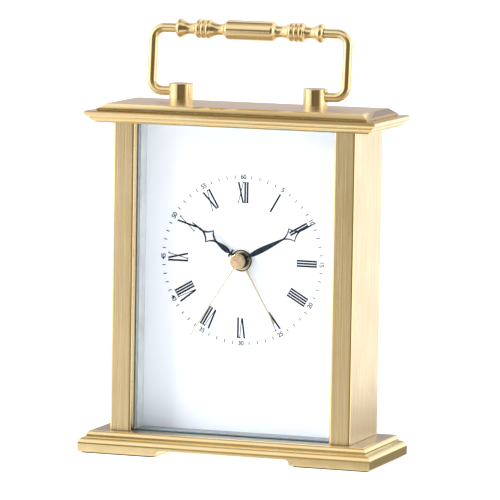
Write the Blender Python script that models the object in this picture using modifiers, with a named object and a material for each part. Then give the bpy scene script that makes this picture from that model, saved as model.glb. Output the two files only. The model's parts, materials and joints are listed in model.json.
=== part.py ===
"""Mantel clock: a moulded brass case on two feet, a turned carrying handle, and a quartz alarm movement.

Metres, +Z up. The origin is the middle of the underside, +X is to the right of someone facing the dial,
and +Y is to the back. Every arbor of the movement runs along Y, and hands turn clockwise about +Y.
"""

import math

import bmesh
import bpy

MM = 0.001
SEAM = 0.1 * MM  # between case pieces that touch
FRONT = (math.pi / 2, 0, 0)  # turns local Z to the front, and local Y up
SIDEWAYS = (0, math.pi / 2, 0)  # turns local Z to +X
UPRIGHT = (0, 0, 0)

# Case
BASE_WIDTH = 114.5 * MM
BASE_DEPTH = 45.7 * MM
BASE_UNDERSIDE = 0.5 * MM
BASE_FACE_TOP = 3.4 * MM
BASE_STEP = (2.55 * MM, 6.2 * MM)
BASE_TOP = 8.3 * MM
BASE_TOP_INSET = 4.05 * MM
ARCH_HALF_WIDTH = 26.0 * MM
ARCH_TOP = 2.7 * MM
ARCH_CORNER = 1.6 * MM
FELT_THICKNESS = 0.4 * MM
FELT_INSET = 1.0 * MM
CASE_WIDTH = 94.4 * MM
CASE_FRONT = -15.5 * MM
CASE_BACK = 17.0 * MM
PILLAR_WIDTH = 8.3 * MM
PILLAR_WALL = 3.0 * MM
CAVITY_FRONT = -1.9 * MM
RIB_FRONT = 9.0 * MM
RIB_BACK = 14.6 * MM
REBATE = 2.3 * MM
TOP_UNDERSIDE = 123.6 * MM
TOP_WIDTH = 113.1 * MM
TOP_DEPTH = 43.3 * MM
TOP_CENTRE_Y = -0.5 * MM
TOP_TIP = (127.1 * MM, 127.7 * MM)
TOP_STEP_INSET = (3.7 * MM, 2.5 * MM)
TOP_STEP = 128.5 * MM
TOP_BEVEL = 3.2 * MM
TOP_FLAT = 130.6 * MM
TIE_X = 43.6 * MM
TIE_Y = (-8.7 * MM, 11.8 * MM)
TIE_RADIUS = 1.5 * MM
GLASS_FRONT = -11.75 * MM
GLASS_THICKNESS = 2.0 * MM
DIAL_FRONT = -3.3 * MM
DIAL_THICKNESS = 1.0 * MM
SPACER_WALL = 0.5 * MM
BACK_PANEL_FRONT = 14.7 * MM
BACK_PANEL_THICKNESS = 1.0 * MM
BACK_SCREW_X = 40.4 * MM
BACK_SCREW_Z = (16.0 * MM, 116.0 * MM)

# Handle
POST_X = 26.35 * MM
POST_RADIUS = 4.53 * MM
POST_HEIGHT = 7.2 * MM
PIVOT_Z = 134.9 * MM
WIRE_RADIUS = 1.8 * MM
BAIL_HALF_WIDTH = 38.2 * MM
BAIL_HEIGHT = 23.4 * MM
BAIL_CORNER = 4.2 * MM
BAIL_END = 25.0 * MM
BAIL_LEAN = math.radians(-5)  # about +X, so the grip leans to the back
# Half of the grip's outline, from its middle to its end: (distance along it, radius)
GRIP_PROFILE = (
    (8.6, 3.70),
    (9.3, 3.35),
    (9.9, 2.70),
    (10.5, 2.32),
    (12.2, 2.15),
    (13.6, 2.38),
    (14.9, 2.90),
    (15.7, 3.45),
    (16.3, 3.65),
    (16.9, 3.45),
    (17.2, 3.12),
    (17.6, 3.50),
    (18.2, 3.65),
    (18.8, 3.50),
    (19.1, 3.12),
    (19.5, 3.50),
    (20.1, 3.65),
    (20.9, 3.30),
    (21.5, 2.45),
    (22.4, 2.20),
    (24.0, 2.10),
    (25.2, 2.45),
    (26.3, 3.10),
    (27.1, 3.55),
    (27.7, 3.60),
    (28.4, 3.25),
    (28.8, 2.70),
)

# Movement, with heights counted from the centre of the dial
DIAL_Z = 73.2 * MM
MOVEMENT_HALF_WIDTH = 28.0 * MM
MOVEMENT_BOTTOM = -33.0 * MM
MOVEMENT_TOP = 23.0 * MM
MOVEMENT_WALL = 1.2 * MM
FRONT_PLATE_FRONT = -2.0 * MM
HOUSING_FRONT = -0.7 * MM
HOUSING_BACK = 15.5 * MM
BAY_WALL = (-16.4 * MM, -15.4 * MM)
BATTERY_RADIUS = 7.25 * MM
BATTERY_Y = 6.75 * MM
BATTERY_Z = -24.2 * MM
BATTERY_ENDS = (-25.0 * MM, 24.3 * MM)
KNOB_RADIUS = 5.0 * MM
KNOB_SPAN = (15.8 * MM, 19.0 * MM)
SWITCH_X = 19.5 * MM
SWITCH_Z = 13.0 * MM
SWITCH_TRAVEL = 4.0 * MM
BEARING_GAP = 0.12 * MM
BUZZER_RADIUS = 7.0 * MM
BUZZER_X = 19.3 * MM
BUZZER_Z = -2.0 * MM
BUZZER_SPAN = (11.0 * MM, 13.5 * MM)
COIL_Y = 10.0 * MM
COIL_Z = 18.0 * MM
COIL_ENDS = (-21.0 * MM, -5.0 * MM)
CORE_HALF = 0.6 * MM

# Wheel train: every arbor is this far from the centre, except the rotor's
ARBOR_DISTANCE = 9.0 * MM
ARBOR_RADIUS = 0.5 * MM
ROTOR_ARBOR_RADIUS = 0.35 * MM
ARBOR_SPAN = (-1.5 * MM, 14.8 * MM)
CANNON_TEETH, MINUTE_WHEEL_TEETH = 12, 36
MINUTE_PINION_TEETH, HOUR_TEETH = 10, 40
CENTRE_TEETH, THIRD_PINION_TEETH = 48, 6
THIRD_TEETH, SECOND_PINION_TEETH = 45, 6
SECOND_TEETH, FIFTH_PINION_TEETH = 30, 6
FIFTH_TEETH, ROTOR_PINION_TEETH = 36, 6
ALARM_TEETH, ALARM_PINION_TEETH = 40, 10
ROTOR_MODULE = 0.3 * MM
ROTOR_DISTANCE = ROTOR_MODULE * (FIFTH_TEETH + ROTOR_PINION_TEETH) / 2
# Layers along Y, from the front
ALARM_PINION_LAYER = (0.0, 1.1 * MM)
ALARM_LAYER = (0.1 * MM, 0.8 * MM)
MINUTE_PINION_LAYER = (1.2 * MM, 2.4 * MM)
HOUR_LAYER = (1.4 * MM, 2.1 * MM)
CANNON_LAYER = (2.6 * MM, 4.2 * MM)
MINUTE_WHEEL_LAYER = (3.0 * MM, 3.8 * MM)
THIRD_PINION_LAYER = (4.4 * MM, 5.6 * MM)
CENTRE_LAYER = (4.6 * MM, 5.3 * MM)
SECOND_PINION_LAYER = (5.9 * MM, 7.3 * MM)
THIRD_LAYER = (6.2 * MM, 6.8 * MM)
FIFTH_PINION_LAYER = (7.8 * MM, 8.8 * MM)
SECOND_LAYER = (8.0 * MM, 8.6 * MM)
ROTOR_PINION_LAYER = (9.1 * MM, 10.1 * MM)
FIFTH_LAYER = (9.3 * MM, 9.9 * MM)
MAGNET_LAYER = (10.7 * MM, 12.4 * MM)
MAGNET_RADIUS = 2.4 * MM
ALARM_PIPE_SPAN = (-4.7 * MM, 0.9 * MM)
HOUR_PIPE_SPAN = (-6.0 * MM, 2.2 * MM)
MINUTE_PIPE_SPAN = (-7.2 * MM, 5.4 * MM)
SECOND_ARBOR_FRONT = -7.9 * MM
SETTING_ARBOR_BACK = 18.6 * MM
# Directions from the centre, counted from +X towards +Z
TO_MINUTE_WHEEL = math.pi
TO_THIRD = 0.0
TO_FIFTH = math.pi / 2
TO_ALARM_PINION = -math.pi / 2
TO_ROTOR = math.pi / 4

# Hands: pointing angles are clockwise from twelve
HOUR_ANGLE = math.radians(305.0)
MINUTE_ANGLE = math.radians(62.2)
SECOND_ANGLE = math.radians(213.0)
ALARM_ANGLE = math.radians(150.0)
HOUR_PIPE = (1.25 * MM, 1.7 * MM)
MINUTE_PIPE = (0.65 * MM, 1.1 * MM)
ALARM_PIPE = (1.85 * MM, 2.3 * MM)
BUSH = (2.45 * MM, 3.2 * MM)
HAND_FIT = 0.06 * MM
CAP_RADIUS = 2.85 * MM
CAP_SPAN = (-9.2 * MM, -7.75 * MM)
HOUR_HAND_SPAN = (-5.7 * MM, -5.3 * MM)
HOUR_COLLET_SPAN = (-5.95 * MM, -4.95 * MM)
MINUTE_HAND_SPAN = (-6.95 * MM, -6.55 * MM)
MINUTE_COLLET_SPAN = (-7.15 * MM, -6.2 * MM)
SECOND_HAND_SPAN = (-7.65 * MM, -7.4 * MM)
ALARM_HAND_SPAN = (-4.6 * MM, -4.1 * MM)

LOOKS = {
    "polished_brass": ((0.80, 0.62, 0.34), 1.0, 0.12),
    "satin_brass": ((0.78, 0.64, 0.42), 1.0, 0.32),
    "glass": ((0.95, 0.98, 0.98), 0.0, 0.02),
    "dial_white": ((0.93, 0.94, 0.95), 0.0, 0.45),
    "hand_black": ((0.02, 0.03, 0.045), 0.0, 0.35),
    "hand_gold": ((0.75, 0.62, 0.36), 1.0, 0.30),
    "black_plastic": ((0.03, 0.03, 0.03), 0.0, 0.50),
    "white_plastic": ((0.85, 0.84, 0.80), 0.0, 0.45),
    "steel": ((0.60, 0.60, 0.60), 1.0, 0.35),
    "felt": ((0.02, 0.02, 0.02), 0.0, 0.95),
    "copper": ((0.72, 0.38, 0.22), 1.0, 0.35),
    "circuit_green": ((0.05, 0.25, 0.12), 0.0, 0.45),
    "magnet": ((0.12, 0.12, 0.13), 0.6, 0.45),
    "battery_jacket": ((0.08, 0.09, 0.10), 0.2, 0.30),
}


# Scene and materials


def clear_scene():
    for item in list(bpy.data.objects):
        bpy.data.objects.remove(item, do_unlink=True)


def new_collection(name):
    collection = bpy.data.collections.new(name)
    bpy.context.scene.collection.children.link(collection)
    return collection


clear_scene()
CLOCK = new_collection("mantel_clock")
CUTTERS = new_collection("cutters")


def material(look):
    found = bpy.data.materials.get(look)
    if found:
        return found
    colour, metallic, roughness = LOOKS[look]
    made = bpy.data.materials.new(look)
    made.use_nodes = True
    made.diffuse_color = (*colour, 1)
    shader = made.node_tree.nodes["Principled BSDF"]
    shader.inputs["Base Color"].default_value = (*colour, 1)
    shader.inputs["Metallic"].default_value = metallic
    shader.inputs["Roughness"].default_value = roughness
    return made


# Shapes


def add(name, mesh, at, turn=UPRIGHT, look=None):
    """An object of the clock, or a cutter if it has no look."""
    made = bpy.data.objects.new(name, mesh)
    made.location = at
    made.rotation_euler = turn
    (CLOCK if look else CUTTERS).objects.link(made)
    if look:
        mesh.materials.clear()
        mesh.materials.append(material(look))
        mesh.shade_smooth()
        mesh.set_sharp_from_angle(angle=math.radians(35))
    else:
        made.hide_render = True
        made.display_type = "WIRE"
    return made


def finish_mesh(name, bm):
    bmesh.ops.recalc_face_normals(bm, faces=bm.faces)
    mesh = bpy.data.meshes.new(name)
    bm.to_mesh(mesh)
    bm.free()
    return mesh


def evaluated_mesh(source):
    """The mesh that an object's curve or modifiers give, with its seams welded. The object is removed."""
    bpy.context.view_layer.update()
    graph = bpy.context.evaluated_depsgraph_get()
    mesh = bpy.data.meshes.new_from_object(source.evaluated_get(graph))
    bpy.data.objects.remove(source, do_unlink=True)
    bm = bmesh.new()
    bm.from_mesh(mesh)
    bmesh.ops.remove_doubles(bm, verts=bm.verts, dist=0.001 * MM)
    bm.to_mesh(mesh)
    bm.free()
    return mesh


def box_mesh(name, size):
    bm = bmesh.new()
    bmesh.ops.create_cube(bm, size=1)
    bmesh.ops.scale(bm, vec=size, verts=bm.verts)
    return finish_mesh(name, bm)


def box(name, low, high, look=None):
    """A block from its lowest to its highest corner."""
    size = [b - a for a, b in zip(low, high)]
    centre = [(a + b) / 2 for a, b in zip(low, high)]
    return add(name, box_mesh(name, size), centre, look=look)


def rod_mesh(name, radius, length, segments):
    bm = bmesh.new()
    bmesh.ops.create_cone(
        bm, cap_ends=True, segments=segments, radius1=radius, radius2=radius, depth=length
    )
    return finish_mesh(name, bm)


def rod_along_y(name, radius, span, centre, look=None, segments=12):
    """A cylinder along Y at (x, z) from one y to another."""
    at = (centre[0], sum(span) / 2, centre[1])
    return add(name, rod_mesh(name, radius, span[1] - span[0], segments), at, FRONT, look)


def rod_upright(name, radius, span, centre, look=None, segments=16):
    at = (centre[0], centre[1], sum(span) / 2)
    return add(name, rod_mesh(name, radius, span[1] - span[0], segments), at, UPRIGHT, look)


def turned_mesh(name, profile, steps, closed=False):
    """A turned shape from (radius, height) points, down its outer side and, if closed, up its bore."""
    mesh = bpy.data.meshes.new(name)
    points = [(radius, 0, height) for radius, height in profile]
    edges = [(i, i + 1) for i in range(len(points) - 1)]
    if closed:
        edges.append((len(points) - 1, 0))
    mesh.from_pydata(points, edges, [])
    source = bpy.data.objects.new(name, mesh)
    CUTTERS.objects.link(source)
    screw = source.modifiers.new("turn", "SCREW")
    screw.steps = steps
    screw.render_steps = steps
    screw.use_merge_vertices = True
    screw.merge_threshold = 0.001 * MM
    return evaluated_mesh(source)


def ring_mesh(name, inner, outer, length, steps):
    """A tube centred on its own origin."""
    half = length / 2
    profile = ((outer, half), (outer, -half), (inner, -half), (inner, half))
    return turned_mesh(name, profile, steps, closed=True)


def ring_along_y(name, radii, span, centre, look=None, steps=16):
    at = (centre[0], sum(span) / 2, centre[1])
    mesh = ring_mesh(name, radii[0], radii[1], span[1] - span[0], steps)
    return add(name, mesh, at, FRONT, look)


def outline_mesh(name, loops, thickness):
    """A flat outline with its holes, extruded both ways from its own plane."""
    curve = bpy.data.curves.new(name, "CURVE")
    curve.dimensions = "2D"
    curve.fill_mode = "BOTH"
    curve.extrude = thickness / 2
    for loop in loops:
        spline = curve.splines.new("POLY")
        spline.points.add(len(loop) - 1)
        for point, (u, v) in zip(spline.points, loop):
            point.co = (u, v, 0, 1)
        spline.use_cyclic_u = True
    source = bpy.data.objects.new(name, curve)
    CUTTERS.objects.link(source)
    return evaluated_mesh(source)


def flat(name, loops, span, centre, look=None, clockwise=0.0):
    """A flat piece facing the front, at (x, z), from one y to another, turned clockwise."""
    mesh = outline_mesh(name, loops, span[1] - span[0])
    at = (centre[0], sum(span) / 2, centre[1])
    return add(name, mesh, at, (math.pi / 2, clockwise, 0), look)


def circle(radius, count=16, centre=(0, 0)):
    return [
        (
            centre[0] + radius * math.cos(2 * math.pi * i / count),
            centre[1] + radius * math.sin(2 * math.pi * i / count),
        )
        for i in range(count)
    ]


def arc(centre, radius, start, end, count):
    """Points round part of a circle, with angles in degrees."""
    angles = [math.radians(start + (end - start) * i / count) for i in range(count + 1)]
    return [(centre[0] + radius * math.cos(a), centre[1] + radius * math.sin(a)) for a in angles]


def rectangle(low, high):
    return [low, (high[0], low[1]), high, (low[0], high[1])]


def quadratic(start, pull, end, count):
    """Points of a quadratic curve, without its start."""
    points = []
    for i in range(1, count + 1):
        t = i / count
        weights = ((1 - t) ** 2, 2 * t * (1 - t), t * t)
        points.append(
            tuple(sum(w * p[axis] for w, p in zip(weights, (start, pull, end))) for axis in (0, 1))
        )
    return points


def boolean(target, others, operation):
    for other in others:
        step = target.modifiers.new(f"{operation.lower()}_{other.name}", "BOOLEAN")
        step.operation = operation
        step.solver = "EXACT"
        step.object = other
    return target


def cut(target, *others):
    return boolean(target, others, "DIFFERENCE")


def unite(target, *others):
    return boolean(target, others, "UNION")


def moulding(name, width, depth, centre_y, rings, look):
    """A mitred rectangular moulding from rings of (inset along X, inset along Y, height), lowest first."""
    bm = bmesh.new()
    bmesh.ops.create_grid(bm, x_segments=1, y_segments=1, size=1)
    top = list(bm.faces)
    for index, (inset_x, inset_y, height) in enumerate(rings):
        if index:
            grown = bmesh.ops.extrude_face_region(bm, geom=top)["geom"]
            if index > 1:
                bmesh.ops.delete(bm, geom=top, context="FACES_ONLY")
            top = [item for item in grown if isinstance(item, bmesh.types.BMFace)]
        for vert in top[0].verts:
            side = math.copysign(1, vert.co.x)
            end = math.copysign(1, vert.co.y)
            vert.co = (side * (width / 2 - inset_x), end * (depth / 2 - inset_y), height)
    return add(name, finish_mesh(name, bm), (0, centre_y, 0), look=look)


def quarter_rings(start, end, bulge, count):
    """Insets and heights along a quarter ellipse, without its start. A bulge swells outwards first."""
    rings = []
    for i in range(1, count + 1):
        angle = math.pi / 2 * i / count
        across, along = (1 - math.cos(angle), math.sin(angle))
        if not bulge:
            across, along = along, across
        inset = start[0] + (end[0] - start[0]) * across
        rings.append((inset, start[1] + (end[1] - start[1]) * along))
    return rings


def both_ways(profile):
    return [(inset, inset, height) for inset, height in profile]


# Wheels


def gear_outline(teeth, module, phase):
    """Short straight-sided teeth with clear backlash. A tooth's middle is at the phase angle."""
    pitch = 2 * math.pi / teeth
    tip = module * (teeth / 2 + 0.8)
    root = module * (teeth / 2 - 1.1)
    points = []
    for i in range(teeth):
        middle = phase + i * pitch
        for radius, share in ((root, -0.27), (tip, -0.10), (tip, 0.10), (root, 0.27)):
            angle = middle + share * pitch
            points.append((radius * math.cos(angle), radius * math.sin(angle)))
    return points


def meshed_phase(phase, teeth, other_teeth, direction):
    """The other wheel's phase, so that its gap meets a tooth of this one along the given direction."""
    return direction + math.pi - math.pi / other_teeth + (direction - phase) * teeth / other_teeth


def arbor_centre(direction, distance=ARBOR_DISTANCE, start=(0, DIAL_Z)):
    return (start[0] + distance * math.cos(direction), start[1] + distance * math.sin(direction))


CENTRE = (0, DIAL_Z)
THIRD_AT = arbor_centre(TO_THIRD)
FIFTH_AT = arbor_centre(TO_FIFTH)
MINUTE_WHEEL_AT = arbor_centre(TO_MINUTE_WHEEL)
ALARM_PINION_AT = arbor_centre(TO_ALARM_PINION)
ROTOR_AT = arbor_centre(TO_ROTOR, ROTOR_DISTANCE, FIFTH_AT)


def pair_module(teeth, other_teeth):
    """The module that puts two meshing wheels at the common arbor distance."""
    return 2 * ARBOR_DISTANCE / (teeth + other_teeth)


MOTION_MODULE = pair_module(CANNON_TEETH, MINUTE_WHEEL_TEETH)
HOUR_MODULE = pair_module(MINUTE_PINION_TEETH, HOUR_TEETH)
CENTRE_MODULE = pair_module(CENTRE_TEETH, THIRD_PINION_TEETH)
THIRD_MODULE = pair_module(THIRD_TEETH, SECOND_PINION_TEETH)
SECOND_MODULE = pair_module(SECOND_TEETH, FIFTH_PINION_TEETH)
ALARM_MODULE = pair_module(ALARM_TEETH, ALARM_PINION_TEETH)


def wheel(name, teeth, module, span, centre, phase=0.0, bore=None, look=None):
    loops = [gear_outline(teeth, module, phase)]
    if bore:
        loops.append(circle(bore))
    return flat(name, loops, span, centre, look)


def hour_wheel():
    phase = meshed_phase(0.0, MINUTE_PINION_TEETH, HOUR_TEETH, TO_MINUTE_WHEEL + math.pi)
    made = ring_along_y("hour_wheel", HOUR_PIPE, HOUR_PIPE_SPAN, CENTRE, "white_plastic")
    bore = sum(HOUR_PIPE) / 2
    teeth = wheel("hour_teeth", HOUR_TEETH, HOUR_MODULE, HOUR_LAYER, CENTRE, phase, bore)
    return unite(made, teeth)


def centre_wheel():
    made = ring_along_y("centre_wheel", MINUTE_PIPE, MINUTE_PIPE_SPAN, CENTRE, "satin_brass")
    bore = sum(MINUTE_PIPE) / 2
    pinion = wheel("cannon_pinion", CANNON_TEETH, MOTION_MODULE, CANNON_LAYER, CENTRE, 0.0, bore)
    teeth = wheel("centre_teeth", CENTRE_TEETH, CENTRE_MODULE, CENTRE_LAYER, CENTRE, 0.0, bore)
    return unite(made, pinion, teeth)


def minute_wheel():
    phase = meshed_phase(0.0, CANNON_TEETH, MINUTE_WHEEL_TEETH, TO_MINUTE_WHEEL)
    span = (ARBOR_SPAN[0], SETTING_ARBOR_BACK)
    at = MINUTE_WHEEL_AT
    made = rod_along_y("minute_wheel", ARBOR_RADIUS, span, at, "white_plastic")
    teeth = wheel("minute_teeth", MINUTE_WHEEL_TEETH, MOTION_MODULE, MINUTE_WHEEL_LAYER, at, phase)
    pinion = wheel("minute_pinion", MINUTE_PINION_TEETH, HOUR_MODULE, MINUTE_PINION_LAYER, at)
    return unite(made, teeth, pinion)


def third_wheel():
    phase = meshed_phase(0.0, CENTRE_TEETH, THIRD_PINION_TEETH, TO_THIRD)
    made = rod_along_y("third_wheel", ARBOR_RADIUS, ARBOR_SPAN, THIRD_AT, "white_plastic")
    teeth = wheel("third_teeth", THIRD_TEETH, THIRD_MODULE, THIRD_LAYER, THIRD_AT)
    pinion = wheel(
        "third_pinion", THIRD_PINION_TEETH, CENTRE_MODULE, THIRD_PINION_LAYER, THIRD_AT, phase
    )
    return unite(made, teeth, pinion)


def second_arbor():
    phase = meshed_phase(0.0, THIRD_TEETH, SECOND_PINION_TEETH, TO_THIRD + math.pi)
    span = (SECOND_ARBOR_FRONT, ARBOR_SPAN[1])
    made = rod_along_y("second_arbor", ARBOR_RADIUS, span, CENTRE, "steel")
    pinion = wheel(
        "second_pinion", SECOND_PINION_TEETH, THIRD_MODULE, SECOND_PINION_LAYER, CENTRE, phase
    )
    teeth = wheel("second_teeth", SECOND_TEETH, SECOND_MODULE, SECOND_LAYER, CENTRE)
    return unite(made, pinion, teeth)


def fifth_wheel():
    phase = meshed_phase(0.0, SECOND_TEETH, FIFTH_PINION_TEETH, TO_FIFTH)
    made = rod_along_y("fifth_wheel", ARBOR_RADIUS, ARBOR_SPAN, FIFTH_AT, "white_plastic")
    pinion = wheel(
        "fifth_pinion", FIFTH_PINION_TEETH, SECOND_MODULE, FIFTH_PINION_LAYER, FIFTH_AT, phase
    )
    teeth = wheel("fifth_teeth", FIFTH_TEETH, ROTOR_MODULE, FIFTH_LAYER, FIFTH_AT)
    return unite(made, pinion, teeth)


def motor_rotor():
    phase = meshed_phase(0.0, FIFTH_TEETH, ROTOR_PINION_TEETH, TO_ROTOR)
    made = rod_along_y("motor_rotor", ROTOR_ARBOR_RADIUS, ARBOR_SPAN, ROTOR_AT, "magnet")
    pinion = wheel(
        "rotor_pinion", ROTOR_PINION_TEETH, ROTOR_MODULE, ROTOR_PINION_LAYER, ROTOR_AT, phase
    )
    magnet = rod_along_y("rotor_magnet", MAGNET_RADIUS, MAGNET_LAYER, ROTOR_AT, segments=24)
    return unite(made, pinion, magnet)


def alarm_wheels():
    made = ring_along_y("alarm_wheel", ALARM_PIPE, ALARM_PIPE_SPAN, CENTRE, "white_plastic")
    bore = sum(ALARM_PIPE) / 2
    teeth = wheel("alarm_teeth", ALARM_TEETH, ALARM_MODULE, ALARM_LAYER, CENTRE, 0.0, bore)
    unite(made, teeth)
    phase = meshed_phase(0.0, ALARM_TEETH, ALARM_PINION_TEETH, TO_ALARM_PINION)
    span = (ARBOR_SPAN[0], SETTING_ARBOR_BACK)
    at = ALARM_PINION_AT
    arbor = rod_along_y("alarm_pinion", ARBOR_RADIUS, span, at, "white_plastic")
    pinion = wheel(
        "alarm_pinion_teeth", ALARM_PINION_TEETH, ALARM_MODULE, ALARM_PINION_LAYER, at, phase
    )
    unite(arbor, pinion)


def setting_knob(name, centre):
    """A knob with scalloped grips round its edge, pushed onto its arbor."""
    scallops, depth, share = 16, 0.35 * MM, 4
    count = scallops * share
    edge = []
    for i in range(count):
        angle = 2 * math.pi * i / count
        radius = KNOB_RADIUS - depth * (1 + math.cos(scallops * angle)) / 2
        edge.append((radius * math.cos(angle), radius * math.sin(angle)))
    bore = circle(ARBOR_RADIUS + HAND_FIT, 12)
    return flat(name, [edge, bore], KNOB_SPAN, centre, "black_plastic")


# Hands


def mirrored(side):
    """A closed outline from the points of its right side, which run up from the bottom."""
    return side + [(-u, v) for u, v in reversed(side) if u > 0]


def leaf(start, end, widest, neck, count):
    """The right edge of a leaf-shaped blade between two radii, widest a third of the way up."""
    points = []
    for i in range(count + 1):
        t = i / count
        swell = math.sin(math.pi * t**0.65)
        points.append((neck + (widest - neck) * swell, start + (end - start) * t))
    return points


def diamond(low, side, high, neck):
    """The right outer edge of an open diamond with hollow sides, without its start."""
    middle = (low + high) / 2
    reach = side[0]
    lower = quadratic((neck, low), (0.34 * reach, 0.62 * middle + 0.38 * low), side, 5)
    upper = quadratic(side, (0.34 * reach, 0.62 * middle + 0.38 * high), (neck, high), 5)
    return lower + upper


def hand_blade(name, hub, stem, crossing, blade, open_diamond, tip, angle, span, bore):
    """A pierced hand: hub, stem, optional crossing, leaf, open diamond and long point."""
    hub_edge = arc((0, 0), hub, -90, 78, 12)
    side = hub_edge + [(0.45 * MM, stem)]
    if crossing:
        radius, reach, half = crossing
        side += [
            (0.45 * MM, radius - half),
            (reach, radius - 0.8 * half),
            (reach, radius + 0.8 * half),
            (0.5 * MM, radius + half),
        ]
    side += leaf(*blade)
    low, reach, high, neck, stroke = open_diamond
    middle = (low + high) / 2
    side += diamond(low, (reach, middle), high, neck)
    side += [(0.42 * MM, high + 0.22 * (tip - high)), (0.10 * MM, tip - 0.2 * MM), (0, tip)]
    inner_low = low + 1.6 * stroke
    inner_high = high - 1.6 * stroke
    pierced = [(0, inner_low)]
    pierced += diamond(inner_low, (reach - 1.25 * stroke, middle), inner_high, 0.02 * MM)
    loops = [mirrored(side), mirrored(pierced), circle(bore, 16)]
    return flat(name, loops, span, CENTRE, "hand_black", angle)


def hour_hand():
    bore = HOUR_PIPE[1] + HAND_FIT
    made = hand_blade(
        "hour_hand",
        hub=2.85 * MM,
        stem=3.6 * MM,
        crossing=(4.65 * MM, 1.35 * MM, 0.38 * MM),
        blade=(5.2 * MM, 11.3 * MM, 1.02 * MM, 0.36 * MM, 8),
        open_diamond=(11.7 * MM, 2.95 * MM, 18.2 * MM, 0.36 * MM, 0.46 * MM),
        tip=23.5 * MM,
        angle=HOUR_ANGLE,
        span=HOUR_HAND_SPAN,
        bore=bore,
    )
    collet = ring_along_y("hour_collet", (bore + 0.2 * MM, 2.8 * MM), HOUR_COLLET_SPAN, CENTRE)
    return unite(made, collet)


def minute_hand():
    bore = MINUTE_PIPE[1] + HAND_FIT
    made = hand_blade(
        "minute_hand",
        hub=2.7 * MM,
        stem=3.5 * MM,
        crossing=None,
        blade=(4.2 * MM, 19.2 * MM, 1.08 * MM, 0.34 * MM, 8),
        open_diamond=(19.6 * MM, 2.85 * MM, 26.6 * MM, 0.36 * MM, 0.44 * MM),
        tip=33.6 * MM,
        angle=MINUTE_ANGLE,
        span=MINUTE_HAND_SPAN,
        bore=bore,
    )
    collet = ring_along_y("minute_collet", (bore + 0.2 * MM, 2.65 * MM), MINUTE_COLLET_SPAN, CENTRE)
    return unite(made, collet)


def needle_hand(name, hub, half_root, half_tip, tip, angle, span, bore):
    """A plain tapered hand on a round hub."""
    side = arc((0, 0), hub, -90, 80, 14) + [(half_root, hub + 0.2 * MM), (half_tip, tip)]
    return flat(name, [mirrored(side), circle(bore, 16)], span, CENTRE, "hand_gold", angle)


def second_hand():
    needle_hand(
        "second_hand",
        hub=1.6 * MM,
        half_root=0.20 * MM,
        half_tip=0.14 * MM,
        tip=34.4 * MM,
        angle=SECOND_ANGLE,
        span=SECOND_HAND_SPAN,
        bore=ARBOR_RADIUS + HAND_FIT,
    )
    top, under = -CAP_SPAN[0], -CAP_SPAN[1]
    chamfer, socket = 0.1 * MM, under + 0.35 * MM
    profile = (
        (0, top),
        (CAP_RADIUS - chamfer, top),
        (CAP_RADIUS, top - chamfer),
        (CAP_RADIUS, under),
        (ARBOR_RADIUS + HAND_FIT, under),
        (ARBOR_RADIUS + HAND_FIT, socket),
        (0, socket),
    )
    mesh = turned_mesh("second_hand_cap", profile, 32)
    add("second_hand_cap", mesh, (0, 0, DIAL_Z), FRONT, "hand_gold")


def alarm_hand():
    needle_hand(
        "alarm_hand",
        hub=4.0 * MM,
        half_root=0.28 * MM,
        half_tip=0.18 * MM,
        tip=26.7 * MM,
        angle=ALARM_ANGLE,
        span=ALARM_HAND_SPAN,
        bore=ALARM_PIPE[1] + HAND_FIT,
    )


# Case pieces


def base_plate():
    profile = [(0.3 * MM, BASE_UNDERSIDE), (0, BASE_UNDERSIDE + 0.3 * MM), (0, BASE_FACE_TOP)]
    fillet = (BASE_STEP[0] - 0.35 * MM, BASE_STEP[1] - 0.2 * MM)
    profile += quarter_rings((0, BASE_FACE_TOP), fillet, True, 4)
    profile += [BASE_STEP]
    profile += quarter_rings(BASE_STEP, (BASE_TOP_INSET, BASE_TOP), True, 4)
    made = moulding("base_plate", BASE_WIDTH, BASE_DEPTH, 0, both_ways(profile), "polished_brass")
    corner = (ARCH_HALF_WIDTH - ARCH_CORNER, ARCH_TOP - ARCH_CORNER)
    side = [(ARCH_HALF_WIDTH, -MM)] + arc(corner, ARCH_CORNER, 0, 90, 4)
    arch = side + [(-u, v) for u, v in reversed(side)]
    cut(made, flat("foot_arch", [arch], (-BASE_DEPTH, BASE_DEPTH), (0, 0)))
    for number, (x, y) in enumerate(tie_places(), 1):
        head = rod_upright(f"tie_counterbore_{number}", 3.3 * MM, (-MM, 3.5 * MM), (x, y))
        hole = rod_upright(f"tie_hole_{number}", TIE_RADIUS + 0.2 * MM, (0, 12 * MM), (x, y))
        cut(made, head, hole)


def tie_places():
    return [(side * TIE_X, y) for y in TIE_Y for side in (-1, 1)]


def foot_pads():
    for side, name in ((-1, "foot_pad_left"), (1, "foot_pad_right")):
        inner = side * (ARCH_HALF_WIDTH + FELT_INSET)
        outer = side * (BASE_WIDTH / 2 - FELT_INSET)
        edge = BASE_DEPTH / 2 - FELT_INSET
        low = (min(inner, outer), -edge, 0)
        box(name, low, (max(inner, outer), edge, FELT_THICKNESS), "felt")


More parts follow.
